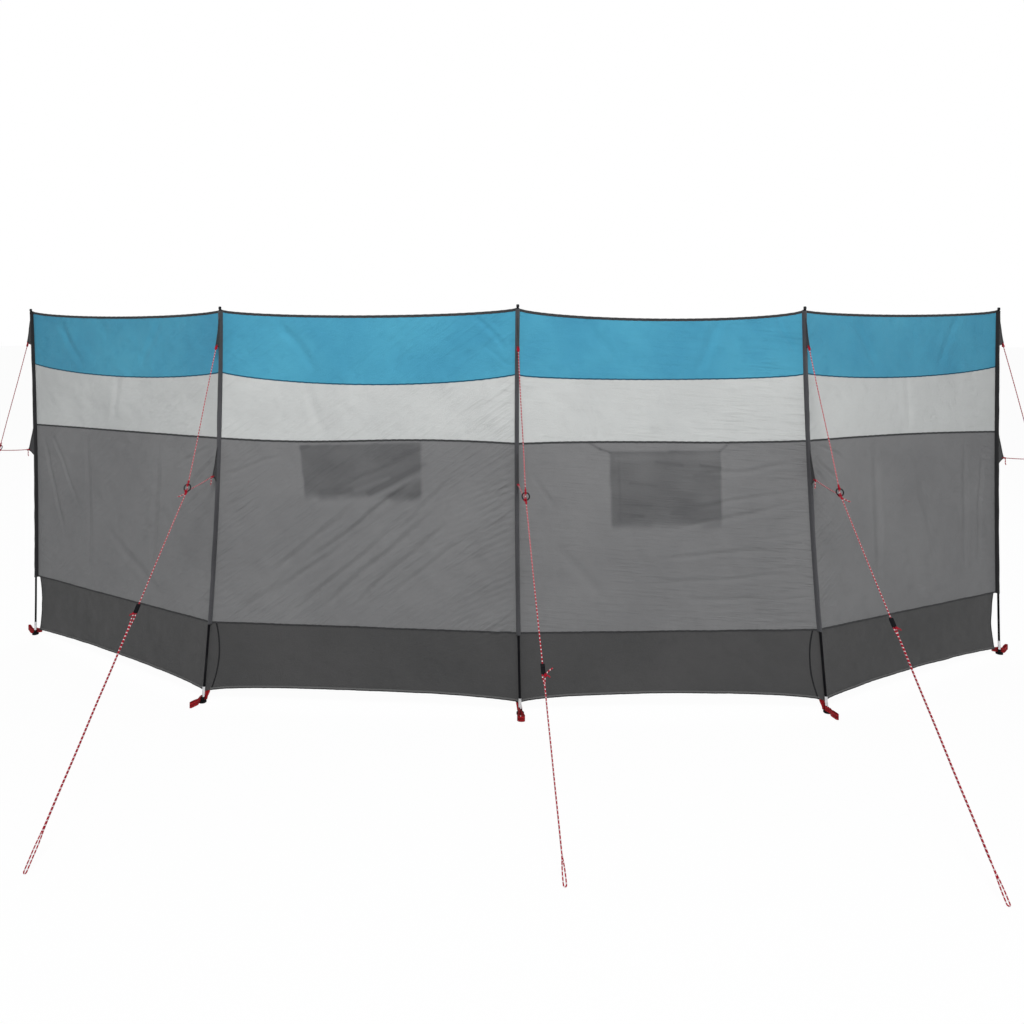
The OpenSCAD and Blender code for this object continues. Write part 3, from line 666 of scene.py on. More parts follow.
def crumpling(bay, share, height):
    """How much a place of the cloth is creased, from 0 to 1: most beside a tight pole."""
    span = bay_span(bay)
    base, left, right, reach = {1: (0.22, 0.1, 0.6, 0.16), 2: (0.30, 0.5, 1.0, 0.26),
                                3: (0.20, 0.2, 0.65, 0.40), 4: (0.22, 0.7, 0.3, 0.16)}[bay]
    amount = (base + left * np.exp(-share * span / 0.08)
              + right * np.exp((share - 1) * span / reach))
    return np.clip(amount * (0.9 + 0.5 * drift(share * 7 + bay, height * 8)), 0, 1)


def paint(piece, name, values):
    """Stores a value at each corner of a grid that shape_grid made, [column][row]."""
    layer = piece.data.attributes.new(name, "FLOAT", "POINT")
    layer.data.foreach_set("value", values.T.ravel())


BANDS = (("blue_cloth", "blue_band", "hem", "blue", blue_weave),
         ("pale_cloth", "pale_band", "blue", "grey", pale_weave),
         ("grey_cloth", "wall_panel", "grey", "flap", wall_weave))
sleeve_edge = 0.0076


def bay_shares(bay, columns):
    """Shares across a bay; an end bay runs on to its end sleeve's far edge."""
    spare = sleeve_edge / bay_span(bay)
    return np.linspace(-spare if bay == 1 else 0, 1 + (spare if bay == 4 else 0), columns + 1)


for bay in BAYS:
    for slot, node, above, below, finish in BANDS:
        high = (seam_place(above, bay, 0.5) - seam_place(below, bay, 0.5))[2]
        rows = round(high / weave_step[slot])
        shares = bay_shares(bay, round(bay_span(bay) / weave_step[slot]))
        share, part = np.meshgrid(shares, np.linspace(0, 1, rows + 1), indexing="ij")
        points = cloth_place(bay, share, above, below, part, cloth_depth)
        mapped = np.stack([share * bay_span(bay), points[..., 2]], axis=-1)
        piece = shape_grid(f"{slot}_{bay}", points, mapped)
        paint(piece, "level_creases", crease_lie(bay, share))
        paint(piece, "crumpled", crumpling(bay, share, points[..., 2]))
        if slot == "grey_cloth":
            paint(piece, "pocket_shadow", pocket_shadow(bay, share, points[..., 2]))
        thicken(piece, cloth_thick)
        put_away(piece, finish)
        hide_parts(f"{node}_{bay}")

# --- Ground flaps ----------------------------------------------------------------------------
# A dark coated flap hangs from the wall of each bay to the ground. Beside four of the poles it
# is cut back in a curve, and there the outer bay's flap passes behind the inner one.
flap_depth = cloth_depth + 0.0007
tuck_depth = flap_depth + 0.0009
flap_tuck = 0.055
flap_rows = 34
cut_least = 0.020
cut_bulge = 0.020


def side_cut(part):
    """Gap between a pole and the flap's cut side; part runs from the seam to the foot."""
    return cut_least + cut_bulge * 4 * part * (1 - part)


def flap_share(bay, across, part):
    """Share of the bay at which a flap lies, for across from one side edge to the other."""
    span = bay_span(bay)
    start = side_cut(part) / span if bay < 3 else 0
    stop = 1 - side_cut(part) / span if bay > 2 else 1
    return start + (stop - start) * across


def flap_place(bay, across, part):
    return cloth_place(bay, flap_share(bay, across, part), "flap", "foot", part, flap_depth)


for bay in BAYS:
    columns = round(bay_span(bay) / weave_step["flap_cloth"])
    down = np.linspace(0, 1, flap_rows)
    across, part = np.meshgrid(np.linspace(0, 1, columns + 1), down, indexing="ij")
    points = flap_place(bay, across, part)
    if bay in (1, 4):
        inner = 2 if bay == 1 else 3
        reach = np.linspace(0.006, flap_tuck, 8) / bay_span(inner)
        share, tuck_part = np.meshgrid(reach if bay == 1 else 1 - reach[::-1], down, indexing="ij")
        tucked = cloth_place(inner, share, "flap", "foot", tuck_part, tuck_depth)
        points = np.concatenate([points, tucked] if bay == 1 else [tucked, points])
    run = run_along(points[:, 0])
    mapped = np.stack([np.broadcast_to(run[:, None], points.shape[:2]), points[..., 2]], axis=-1)
    piece = shape_grid(f"flap_cloth_{bay}", points, mapped)
    thicken(piece, cloth_thick)
    put_away(piece, flap_weave)
    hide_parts(f"ground_flap_{bay}")

# --- Seams and bindings ----------------------------------------------------------------------
# Woven tape is folded over the top edge and the flaps' free edges, and flat seams join the
# bands. Each is sewn down with two rows of lockstitch, which pull it in a little.
def tape_finish(name, light, dark, upper=None):
    """Ribbed tape with two rows of stitches, and a paler painted highlight on its upper half when
    upper is given; U runs along it in metres and V across it, 0 to 1.
    """
    made, tree, shader = material(name, light, 0.72)
    shader.inputs["Sheen Weight"].default_value = 0.04
    shader.inputs["Specular IOR Level"].default_value = 0.12
    split = tree.nodes.new("ShaderNodeSeparateXYZ")
    tree.links.new(coordinates(tree, "UV", (1, 1, 1)), split.inputs["Vector"])
    along, over = split.outputs["X"], split.outputs["Y"]
    rib = sums(tree, "SINE", sums(tree, "MULTIPLY", along, 5200.0), 0.0)
    beat = sums(tree, "PINGPONG", sums(tree, "MULTIPLY", along, 330.0), 1.0)
    from_middle = sums(tree, "ABSOLUTE", sums(tree, "SUBTRACT", over, 0.5), 0.0)
    off_row = sums(tree, "ABSOLUTE", sums(tree, "SUBTRACT", from_middle, 0.33), 0.0)
    in_row = sums(tree, "LESS_THAN", off_row, 0.05)
    stitch = sums(tree, "MULTIPLY", in_row, sums(tree, "LESS_THAN", beat, 0.62))
    worn = noise(tree, coordinates(tree, "Object", (22, 22, 22)), 1.0, 4.0)
    tone = between(tree, stretch(tree, worn, 0.35, 0.7, 0, 1), dark, light)
    # Painted highlight: the upper half of the tape is paler, as if lit along its top.
    if upper:
        tone = between(tree, stretch(tree, over, 0.42, 0.50, 0, 1), tone, upper)
    thread = tuple(min(c * 1.9 + 0.012, 1) for c in light)
    tone = between(tree, stitch, tone, thread)
    tree.links.new(tone, shader.inputs["Base Color"])
    relief = sums(tree, "ADD", sums(tree, "MULTIPLY", rib, 0.2),
                  sums(tree, "MULTIPLY", stitch, 0.8))
    bumped(tree, shader, relief, 0.4, 0.0006)
    return made


dark_tape = tape_finish("dark_tape", (0.036, 0.036, 0.037), (0.026, 0.026, 0.027))
seam_tape = tape_finish("seam_tape", (0.044, 0.045, 0.046), (0.032, 0.033, 0.034))
edge_tape = tape_finish("edge_tape", (0.014, 0.014, 0.015), (0.008, 0.008, 0.009))
# The foot tape's upper half carries a paler painted highlight.
foot_tape = tape_finish("foot_tape", (0.016, 0.016, 0.017), (0.010, 0.010, 0.011),
                        (0.115, 0.115, 0.113))
blue_tape = tape_finish("blue_tape", (0.012, 0.072, 0.115), (0.008, 0.055, 0.092))


def close_up(piece):
    """Joins the edges of a rolled-up grid and turns its faces outwards."""
    bpy.ops.object.mode_set(mode="EDIT")
    bpy.ops.mesh.select_all(action="SELECT")
    bpy.ops.mesh.remove_doubles(threshold=2e-6)
    bpy.ops.mesh.normals_make_consistent(inside=False)
    bpy.ops.mesh.select_all(action="DESELECT")
    bpy.ops.object.mode_set(mode="OBJECT")


TAPE_EDGE = ((-0.5, -0.3), (-0.46, -0.5), (0.46, -0.5), (0.5, -0.3), (0.5, 0.3), (0.46, 0.5),
             (-0.46, 0.5), (-0.5, 0.3), (-0.5, -0.3))


def lay_tape(name, line, across, outward, width, thickness, finish):
    """A closed flat tape centred on a line of points; V is 0 to 1 across each face."""
    run = run_along(line)
    across, outward = np.broadcast_to(across, line.shape), np.broadcast_to(outward, line.shape)
    rows = [line + across * a * width + outward * b * thickness for a, b in TAPE_EDGE]
    points = np.stack(rows, axis=1)
    ends = [np.broadcast_to(line[i], (1, len(TAPE_EDGE), 3)) for i in (0, -1)]
    points = np.concatenate([ends[0], points, ends[1]])
    run = np.concatenate([run[:1], run, run[-1:]])
    over = np.array([0, 0, 1, 1, 1, 1, 0, 0, 0], float)
    mapped = np.stack(np.broadcast_arrays(run[:, None], over[None]), axis=-1)
    piece = shape_grid(name, points, mapped)
    close_up(piece)
    put_away(piece, finish)
    return piece


def along_seam(seam, rise, wave):
    """The line of a seam through all four bays, a little above it, on the cloth."""
    parts = []
    for bay in BAYS:
        shares = bay_shares(bay, round(bay_span(bay) / 0.010))
        line = seam_place(seam, bay, shares)
        line[:, 2] += rise + wave * np.sin(shares * bay_span(bay) * 2 * math.pi / 0.031
                                           + 3 * drift(shares * 9, bay))
        line = set_back(bay, shares, line, cloth_depth, slack(bay, shares, line[:, 2]))
        parts.append(line if bay == 1 else line[1:])
    return np.concatenate(parts)


def square_to(line):
    """Level direction square to a line of points, away from the sleeves."""
    run = np.gradient(line, axis=0)
    return unit(np.stack([-run[:, 1], run[:, 0], np.zeros(len(run))], axis=1))


up = np.array([0.0, 0.0, 1.0])


def tape_seam(name, seam, rise, wave, width, thickness, finish):
    """Lays a tape along a seam, a rise above it; wave is how far its stitches waver."""
    line = along_seam(seam, rise, wave)
    return lay_tape(name, line, up, square_to(line), width, thickness, finish)


top_tape = tape_seam("top_tape", "hem", -0.0040, 0.0003, 0.0100, 0.0026, dark_tape)
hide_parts("top_hem")
tape_seam("blue_seam", "blue", 0.0, 0.0004, 0.0050, 0.0016, blue_tape)
tape_seam("grey_seam", "grey", 0.0, 0.0004, 0.0075, 0.0020, seam_tape)
tape_seam("flap_seam", "flap", 0.001, 0.0004, 0.0065, 0.0026, dark_tape)


def flap_edge(bay, which):
    """Points along a flap's foot or down one of its sides."""
    if which == "foot":
        across = np.linspace(0, 1, round(bay_span(bay) / 0.010))
        return flap_place(bay, across, np.ones(len(across)))
    part = np.linspace(0, 1, 40)
    return flap_place(bay, np.full_like(part, 0.0 if which == "left" else 1.0), part)


tape_half = 0.003
for bay in BAYS:
    foot_line = flap_edge(bay, "foot")
    foot_line[:, 2] += 0.0043
    side = "left" if bay < 3 else "right"
    side_line = flap_edge(bay, side)
    inwards = bay_direction(bay) * (1 if side == "left" else -1)
    lay_tape(f"flap_foot_tape_{bay}", foot_line, up, behind(bay), 0.0092, 0.0022, foot_tape)
    lay_tape(f"flap_side_tape_{bay}", side_line + inwards * tape_half, inwards, behind(bay),
             0.0058, 0.0022, edge_tape)

# --- Sleeves ---------------------------------------------------------------------------------
# A long strip of dark cloth over each pole, sewn to the curtain on both sides of it, so that
# the pole slides in from below. It is a little loose and creases in long soft folds.
sleeve_round = 0.0054
sleeve_side = 0.0079
sleeve_top_gap = 0.004
# Half of a sleeve's section, from its front round to its sewn edge: to the side, and back
SLEEVE_HALF = ((0.0, -sleeve_round), (0.0020, -0.0050), (0.0038, -0.0038), (0.0050, -0.0020),
               (0.0054, 0.0012), (0.0057, 0.0034), (0.0063, 0.0050), (0.0069, 0.0060),
               (0.0074, 0.0064), (sleeve_side, 0.0066))
SLEEVE_SHAPE = [(-side, depth) for side, depth in SLEEVE_HALF[:0:-1]] + list(SLEEVE_HALF)
sleeve_weave = woven("sleeve_weave", (0.064, 0.064, 0.069), (0.040, 0.040, 0.043), 0.62, 0.12, 420)
end_sleeve_weave = woven("end_sleeve_weave", (0.022, 0.022, 0.023), (0.014, 0.014, 0.015), 0.62,
                         0.06, 420)


def sleeve_points(number, length, side, depth):
    """Points beside and behind a pole, in the pole's own frame near it and the bays' outside."""
    middle = on_pole(number, length)
    left, right = max(number - 1, 1), min(number, 4)
    mean_way = unit(bay_direction(left) + bay_direction(right))
    mean_back = np.array([-mean_way[1], mean_way[0], 0])
    close = middle + mean_way * side[..., None] + mean_back * depth[..., None]
    way = np.where((side < 0)[..., None], bay_direction(left), bay_direction(right))
    wide = middle + mitre(number) * depth[..., None] + way * side[..., None]
    share = smooth(0.0052, 0.0085, abs(side))[..., None]
    return close * (1 - share) + wide * share


for n in POLES:
    low, high = seam_up["flap"][n] - 0.003, seam_up["hem"][n] - sleeve_top_gap
    length = np.linspace(low, high, 200)[:, None]
    side, depth = np.array(SLEEVE_SHAPE).T[:, None]
    length, side, depth = np.broadcast_arrays(length, side, depth)
    turn = side / sleeve_side
    loose = smooth(0.0068, 0.0048, abs(side))
    crease = (0.0011 * drift(length * 11 + n * 9, turn * 1.2 + length * 5)
              + 0.0006 * drift(length * 34 + n, turn * 2.2) + 0.0004)
    crease = np.maximum(crease, -0.0004) * loose
    grown = 1 + crease / sleeve_round
    sway = 0.0007 * drift(length * 6 + n * 5, np.full_like(turn, n)) * loose
    depth = np.where(depth < 0.005, depth * grown, depth)
    points = sleeve_points(n, length, side * grown + sway, depth)
    mapped = np.stack([side, length], axis=-1)
    piece = shape_grid(f"pole_sleeve_{n}", points, mapped)
    thicken(piece, cloth_thick)
    put_away(piece, end_sleeve_weave if n in (1, 5) else sleeve_weave)
    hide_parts(f"sleeve_{n}")

# --- Rear pockets ----------------------------------------------------------------------------
# Two patch pockets are sewn behind the walls of the middle bays with a bound, open top. They
# hang a little full, and their outline is painted on the thin wall in front as a darker patch of
# shade.
pocket_depth = cloth_depth + 0.0024
pocket_weave = woven("pocket_weave", (0.150, 0.150, 0.152), (0.130, 0.130, 0.132), 0.66, 0.10, 420)
pocket_corners = corners_of("rear_pockets")
for bay in (2, 3):
    span = bay_span(bay)
    share = share_across(bay, pocket_corners)
    mine = (share > 0) & (share < 1)
    left, right = share[mine].min(), share[mine].max()
    low, high = pocket_corners[mine][:, 2].min(), pocket_corners[mine][:, 2].max()
    across = np.linspace(left, right, 56)[:, None]
    level = np.linspace(low + 0.002, high - 0.004, 33)[None]
    across, level = np.broadcast_arrays(across, level)
    a, b = (across - left) / (right - left), (level - low) / (high - low)
    full = 0.007 * np.sin(math.pi * a) * (0.25 + 0.75 * b) * smooth(0, 0.2, b)
    full = full + 0.0016 * drift(a * 7 + bay, b * 4) * np.sin(math.pi * a) * smooth(0, 0.15, b)
    top = seam_place("grey", bay, across)
    line = top.copy()
    line[..., 2] = level + (top[..., 2] - np.median(top[..., 2])) * b
    points = set_back(bay, across, line, pocket_depth, slack(bay, across, level) + full)
    mapped = np.stack([across * span, level], axis=-1)
    piece = shape_grid(f"pocket_cloth_{bay}", points, mapped)
    thicken(piece, cloth_thick)
    put_away(piece, pocket_weave)
    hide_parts("rear_pockets")
    mouth = lay_tape(f"pocket_mouth_{bay}", points[:, -1], up, behind(bay), 0.010, 0.0024,
                     dark_tape)
    outline = np.concatenate([points[0, ::-1][2:], points[1:-1, 0], points[-1, :-2]])
    inner = unit(np.cross(np.gradient(outline, axis=0), behind(bay)))
    seam = lay_tape(f"pocket_seam_{bay}", outline, inner, behind(bay), 0.0060, 0.0020, seam_tape)

# --- Caps, ferrules and feet -------------------------------------------------------------------
# A moulded cap closes the top of each pole, a drawn metal ferrule its lower end, and that
# stands in the socket of a black moulded foot disc.
def moulded(name, colour, roughness, grain):
    """Black moulded plastic with a fine grain, a little paler where it is rubbed."""
    made, tree, shader = material(name, colour, roughness)
    shader.inputs["Specular IOR Level"].default_value = 0.08
    fine = noise(tree, coordinates(tree, "Object", (grain, grain, grain)), 1.0, 2.0)
    rubbed = noise(tree, coordinates(tree, "Object", (90, 90, 90)), 1.0, 4.0)
    tone = between(tree, stretch(tree, rubbed, 0.45, 0.75, 0, 0.8), colour,
                   tuple(c * 1.6 + 0.004 for c in colour))
    tree.links.new(tone, shader.inputs["Base Color"])
    tree.links.new(stretch(tree, rubbed, 0.3, 0.7, roughness - 0.08, roughness + 0.12),
                   shader.inputs["Roughness"])
    bumped(tree, shader, fine, 0.3, 0.0003)
    return made


dress("pole_caps", moulded("cap_plastic", (0.012, 0.012, 0.013), 0.42, 1400))
dress("pole_feet", moulded("foot_plastic", (0.004, 0.004, 0.005), 0.7, 1400))


def drawn_metal():
    """Bright metal with the fine lengthwise lines of drawing and some dulled patches."""
    made, tree, shader = material("ferrule_metal", (0.60, 0.60, 0.61), 0.3, 1.0)
    drawn = noise(tree, coordinates(tree, "Object", (2600, 2600, 25)), 1.0, 3.0)
    dulled = noise(tree, coordinates(tree, "Object", (140, 140, 90)), 1.0, 3.0)
    tone = between(tree, stretch(tree, dulled, 0.4, 0.7, 0, 1), (0.66, 0.66, 0.67),
                   (0.46, 0.46, 0.47))
    tree.links.new(tone, shader.inputs["Base Color"])
    tree.links.new(stretch(tree, dulled, 0.3, 0.7, 0.24, 0.42), shader.inputs["Roughness"])
    bumped(tree, shader, drawn, 0.2, 0.0002)
    return made


dress("pole_ferrules", drawn_metal())

# --- Guy tabs ----------------------------------------------------------------------------------
# Two triangles of doubled dark cloth with bound edges are sewn into each sleeve's seam and
# stand out towards the guy line. A pressed eyelet near the tip takes the cord.
tab_weave = woven("tab_weave", (0.042, 0.042, 0.044), (0.030, 0.030, 0.032), 0.66, 0.12, 420)
eyelet_metal = moulded("eyelet_metal", (0.030, 0.030, 0.032), 0.3, 900)
eyelet_metal.node_tree.nodes["Principled BSDF"].inputs["Metallic"].default_value = 0.8
# Each tab's reach out of the pole, and its sewn edge above and below the tip
TABS = {"upper": (0.030, 0.100, 0.006), "lower": (0.036, 0.100, 0.020)}
tab_root = 0.0058
eyelet_inset = 0.0045


def nearest_pole(points):
    """Number of the pole nearest to each point."""
    gaps = [np.linalg.norm(points[:, :2] - on_pole(n, points[:, 2])[:, :2], axis=1) for n in POLES]
    return np.argmin(gaps, axis=0) + 1


def tab_way(which, number):
    """Level direction in which a packed tab stands out of its pole, and its tip's height."""
    points = spots_of(f"{which}_guy_tabs")
    points = points[nearest_pole(points) == number]
    out = points - on_pole(number, points[:, 2])
    out[:, 2] = 0
    far = np.linalg.norm(out, axis=1)
    way = out[far.argmax()] / far.max()
    return way, points[far > far.max() - 0.001][:, 2].mean()


tab_tips = {}
for which, (reach, rise, fall) in TABS.items():
    for n in POLES:
        way, tip = tab_way(which, n)
        face = np.cross(way, up)
        out, level = np.meshgrid(np.linspace(0, 1, 13), np.linspace(0, 1, 25), indexing="ij")
        high = rise * (1 - out) ** 1.15 + 0.0025
        low = -fall * (1 - out) ** 1.3 - 0.0020
        height = tip + low + (high - low) * level
        ripple = 0.0012 * np.sin(out * 3.1) * drift(height * 26 + n * 5, out * 2 + len(which))
        points = (on_pole(n, height) + way * (tab_root + (reach - tab_root) * out)[..., None]
                  + face * ripple[..., None])
        points[..., 2] = height
        mapped = np.stack([out * reach, height], axis=-1)
        piece = shape_grid(f"{which}_tab_{n}", points, mapped)
        thicken(piece, 0.0012)
        put_away(piece, tab_weave)
        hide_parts(f"{which}_guy_tabs")
        rim = np.concatenate([points[:, -1], points[-1, -2::-1][::6], points[::-1, 0][1:]])
        inner = unit(np.cross(np.gradient(rim, axis=0), face))
        bound = lay_tape(f"{which}_tab_tape_{n}", rim, inner, face, 0.0046, 0.0024, dark_tape)
        tab_tips[which, n] = (on_pole(n, tip) + way * (reach - eyelet_inset)) * (1, 1, 0) + up * tip
        bpy.ops.mesh.primitive_torus_add(major_segments=20, minor_segments=8, major_radius=0.0026,
                                         minor_radius=0.0009)
        eyelet = bpy.context.object
        eyelet.name = f"{which}_eyelet_{n}"
        eyelet.rotation_euler = Vector(face).to_track_quat("Z", "Y").to_euler()
        eyelet.location = tab_tips[which, n]
        bpy.ops.object.transform_apply(location=True, rotation=True, scale=True)
        put_away(eyelet, eyelet_metal)

# --- Guy lines ---------------------------------------------------------------------------------
# Braided red cord with a pale tracer. One leg is tied from each tab to a black ring, and from
# the ring a line runs down through a slide runner, and on as two strands to its looped end.
cord_half = 0.00185
cord_sides = 8
ring_hold = 0.0125  # from the ring's middle to the middle of its wire
runner_exit = 0.0125  # from a runner's middle to where its two strands start


def braided():
    """Red braid, darkened with painted shade between its strands, with a pale fleck every 11 mm; U
    runs along the cord in metres, V round it.
    """
    red = (0.40, 0.004, 0.020)
    made, tree, shader = material("cord_braid", red, 0.6)
    shader.inputs["Sheen Weight"].default_value = 0.04
    shader.inputs["Specular IOR Level"].default_value = 0.10
    split = tree.nodes.new("ShaderNodeSeparateXYZ")
    tree.links.new(coordinates(tree, "UV", (1, 1, 1)), split.inputs["Vector"])
    along = sums(tree, "MULTIPLY", split.outputs["X"], 100.0)
    twists = []
    for handed in ("ADD", "SUBTRACT"):
        lean = sums(tree, handed, sums(tree, "MULTIPLY", along, 4.0),
                    sums(tree, "MULTIPLY", split.outputs["Y"], 4.0))
        twists.append(sums(tree, "SINE", sums(tree, "MULTIPLY", lean, 6.2832), 0.0))
    strands = sums(tree, "MAXIMUM", *twists)
    lean = sums(tree, "SINE", sums(tree, "MULTIPLY", split.outputs["Y"], 6.2832), 0.0)
    phase = sums(tree, "FRACT", sums(tree, "ADD", sums(tree, "MULTIPLY", along, 0.9),
                                     sums(tree, "MULTIPLY", lean, 0.10)), 0.0)
    # Painted shade: the red darkens in the grooves between the braid's strands.
    tone = between(tree, stretch(tree, strands, -0.6, 1.0, 0, 1), (0.20, 0.003, 0.010), red)
    tone = between(tree, stretch(tree, phase, 0.70, 0.74, 0, 1), tone, (0.66, 0.55, 0.56))
    tree.links.new(tone, shader.inputs["Base Color"])
    bumped(tree, shader, strands, 0.6, 0.0004)
    return made


cord_braid = braided()


def smooth_path(points, step):
    """Points evenly spaced on a Catmull-Rom curve through the given ones."""
    points = np.asarray(points, float)
    ends = np.concatenate([[2 * points[0] - points[1]], points, [2 * points[-1] - points[-2]]])
    path = []
    for a, b, c, d in zip(ends, ends[1:], ends[2:], ends[3:]):
        count = max(int(np.linalg.norm(c - b) / step), 2)
        t = np.linspace(0, 1, count, endpoint=False)[:, None]
        path.append(0.5 * (2 * b + (c - a) * t + (2 * a - 5 * b + 4 * c - d) * t ** 2
                           + (3 * b - a - 3 * c + d) * t ** 3))
    return np.concatenate(path + [points[-1:]])


def cord_tube(name, path, knotted):
    """A closed tube along a path, with U along it in metres and V round it; a knot hides flecks."""
    run = run_along(path)
    tangent = unit(np.gradient(path, axis=0))
    normals = [unit(np.cross(tangent[0], up if abs(tangent[0][2]) < 0.9 else (1, 0, 0)))]
    for way in tangent[1:]:
        normals.append(unit(normals[-1] - way * (normals[-1] @ way)))
    normals = np.array(normals)
    other = np.cross(tangent, normals)
    angle = np.linspace(0, 2 * math.pi, cord_sides + 1)
    ring = (normals[:, None] * np.cos(angle)[None, :, None]
            + other[:, None] * np.sin(angle)[None, :, None])
    points = path[:, None] + ring * cord_half
    caps = [np.repeat(path[i][None, None], cord_sides + 1, axis=1) for i in (0, -1)]
    points = np.concatenate([caps[0], points, caps[1]])
    run = np.concatenate([run[:1], run, run[-1:]])
    run = 0.0014 + run % 0.0052 if knotted else run
    mapped = np.stack(np.broadcast_arrays(run[:, None], (angle / (2 * math.pi))[None]), axis=-1)
    piece = shape_grid(name, points, mapped)
    close_up(piece)
    piece.select_set(False)
    return piece


def upright_to(axis):
    """Two directions square to an axis, the first of them level."""
    level = unit(np.cross(axis, up))
    return level, np.cross(level, axis)


def knot_path(middle, axis, size, turn):
    """An overhand knot drawn tight round a point of a cord that runs along the axis."""
    level, other = upright_to(axis)
    t = np.linspace(0, 2 * math.pi, 40) + turn
    x, y, z = np.sin(t) + 2 * np.sin(2 * t), np.cos(t) - 2 * np.cos(2 * t), -1.3 * np.sin(3 * t)
    return middle + size * (x[:, None] * level + y[:, None] * axis * 1.1 + z[:, None] * other) / 3


def hitch(centre, wire_way, come, turns=1.5):
    """Turns of cord round a wire: centre on the wire, come is the side the cord comes from."""
    come = unit(come - wire_way * (come @ wire_way))
    side = np.cross(wire_way, come)
    t = np.linspace(0, turns * 2 * math.pi, int(16 * turns))
    shift = (t / t[-1] - 0.5) * turns * 2.2 * cord_half
    return (centre + 0.0040 * (np.cos(t)[:, None] * side + np.sin(t)[:, None] * come * -1)
            + shift[:, None] * wire_way)


def eyelet_loop(tip, knot, across):
    """From the knot up through the eyelet and back, as an open teardrop."""
    way = tip - knot
    long = np.linalg.norm(way)
    way = way / long
    side = np.cross(way, across)
    bows = ((0.0, 0.2), (0.35, 1.0), (0.8, 1.15), (1.05, 0.55), (1.05, -0.55), (0.8, -1.15),
            (0.35, -1.0), (0.0, -0.2))
    return smooth_path([knot + way * long * a + across * b * 0.0024
                        + side * 0.0006 * math.sin(a * 9) for a, b in bows], 0.0015)


def loose_end(knot, way, bends):
    """A short tail out of a knot; each bend is so far along a direction, and so far up."""
    return smooth_path([knot] + [knot + way * out + up * rise for out, rise in bends], 0.003)


def middle_of(points):
    return (points.min(axis=0) + points.max(axis=0)) / 2


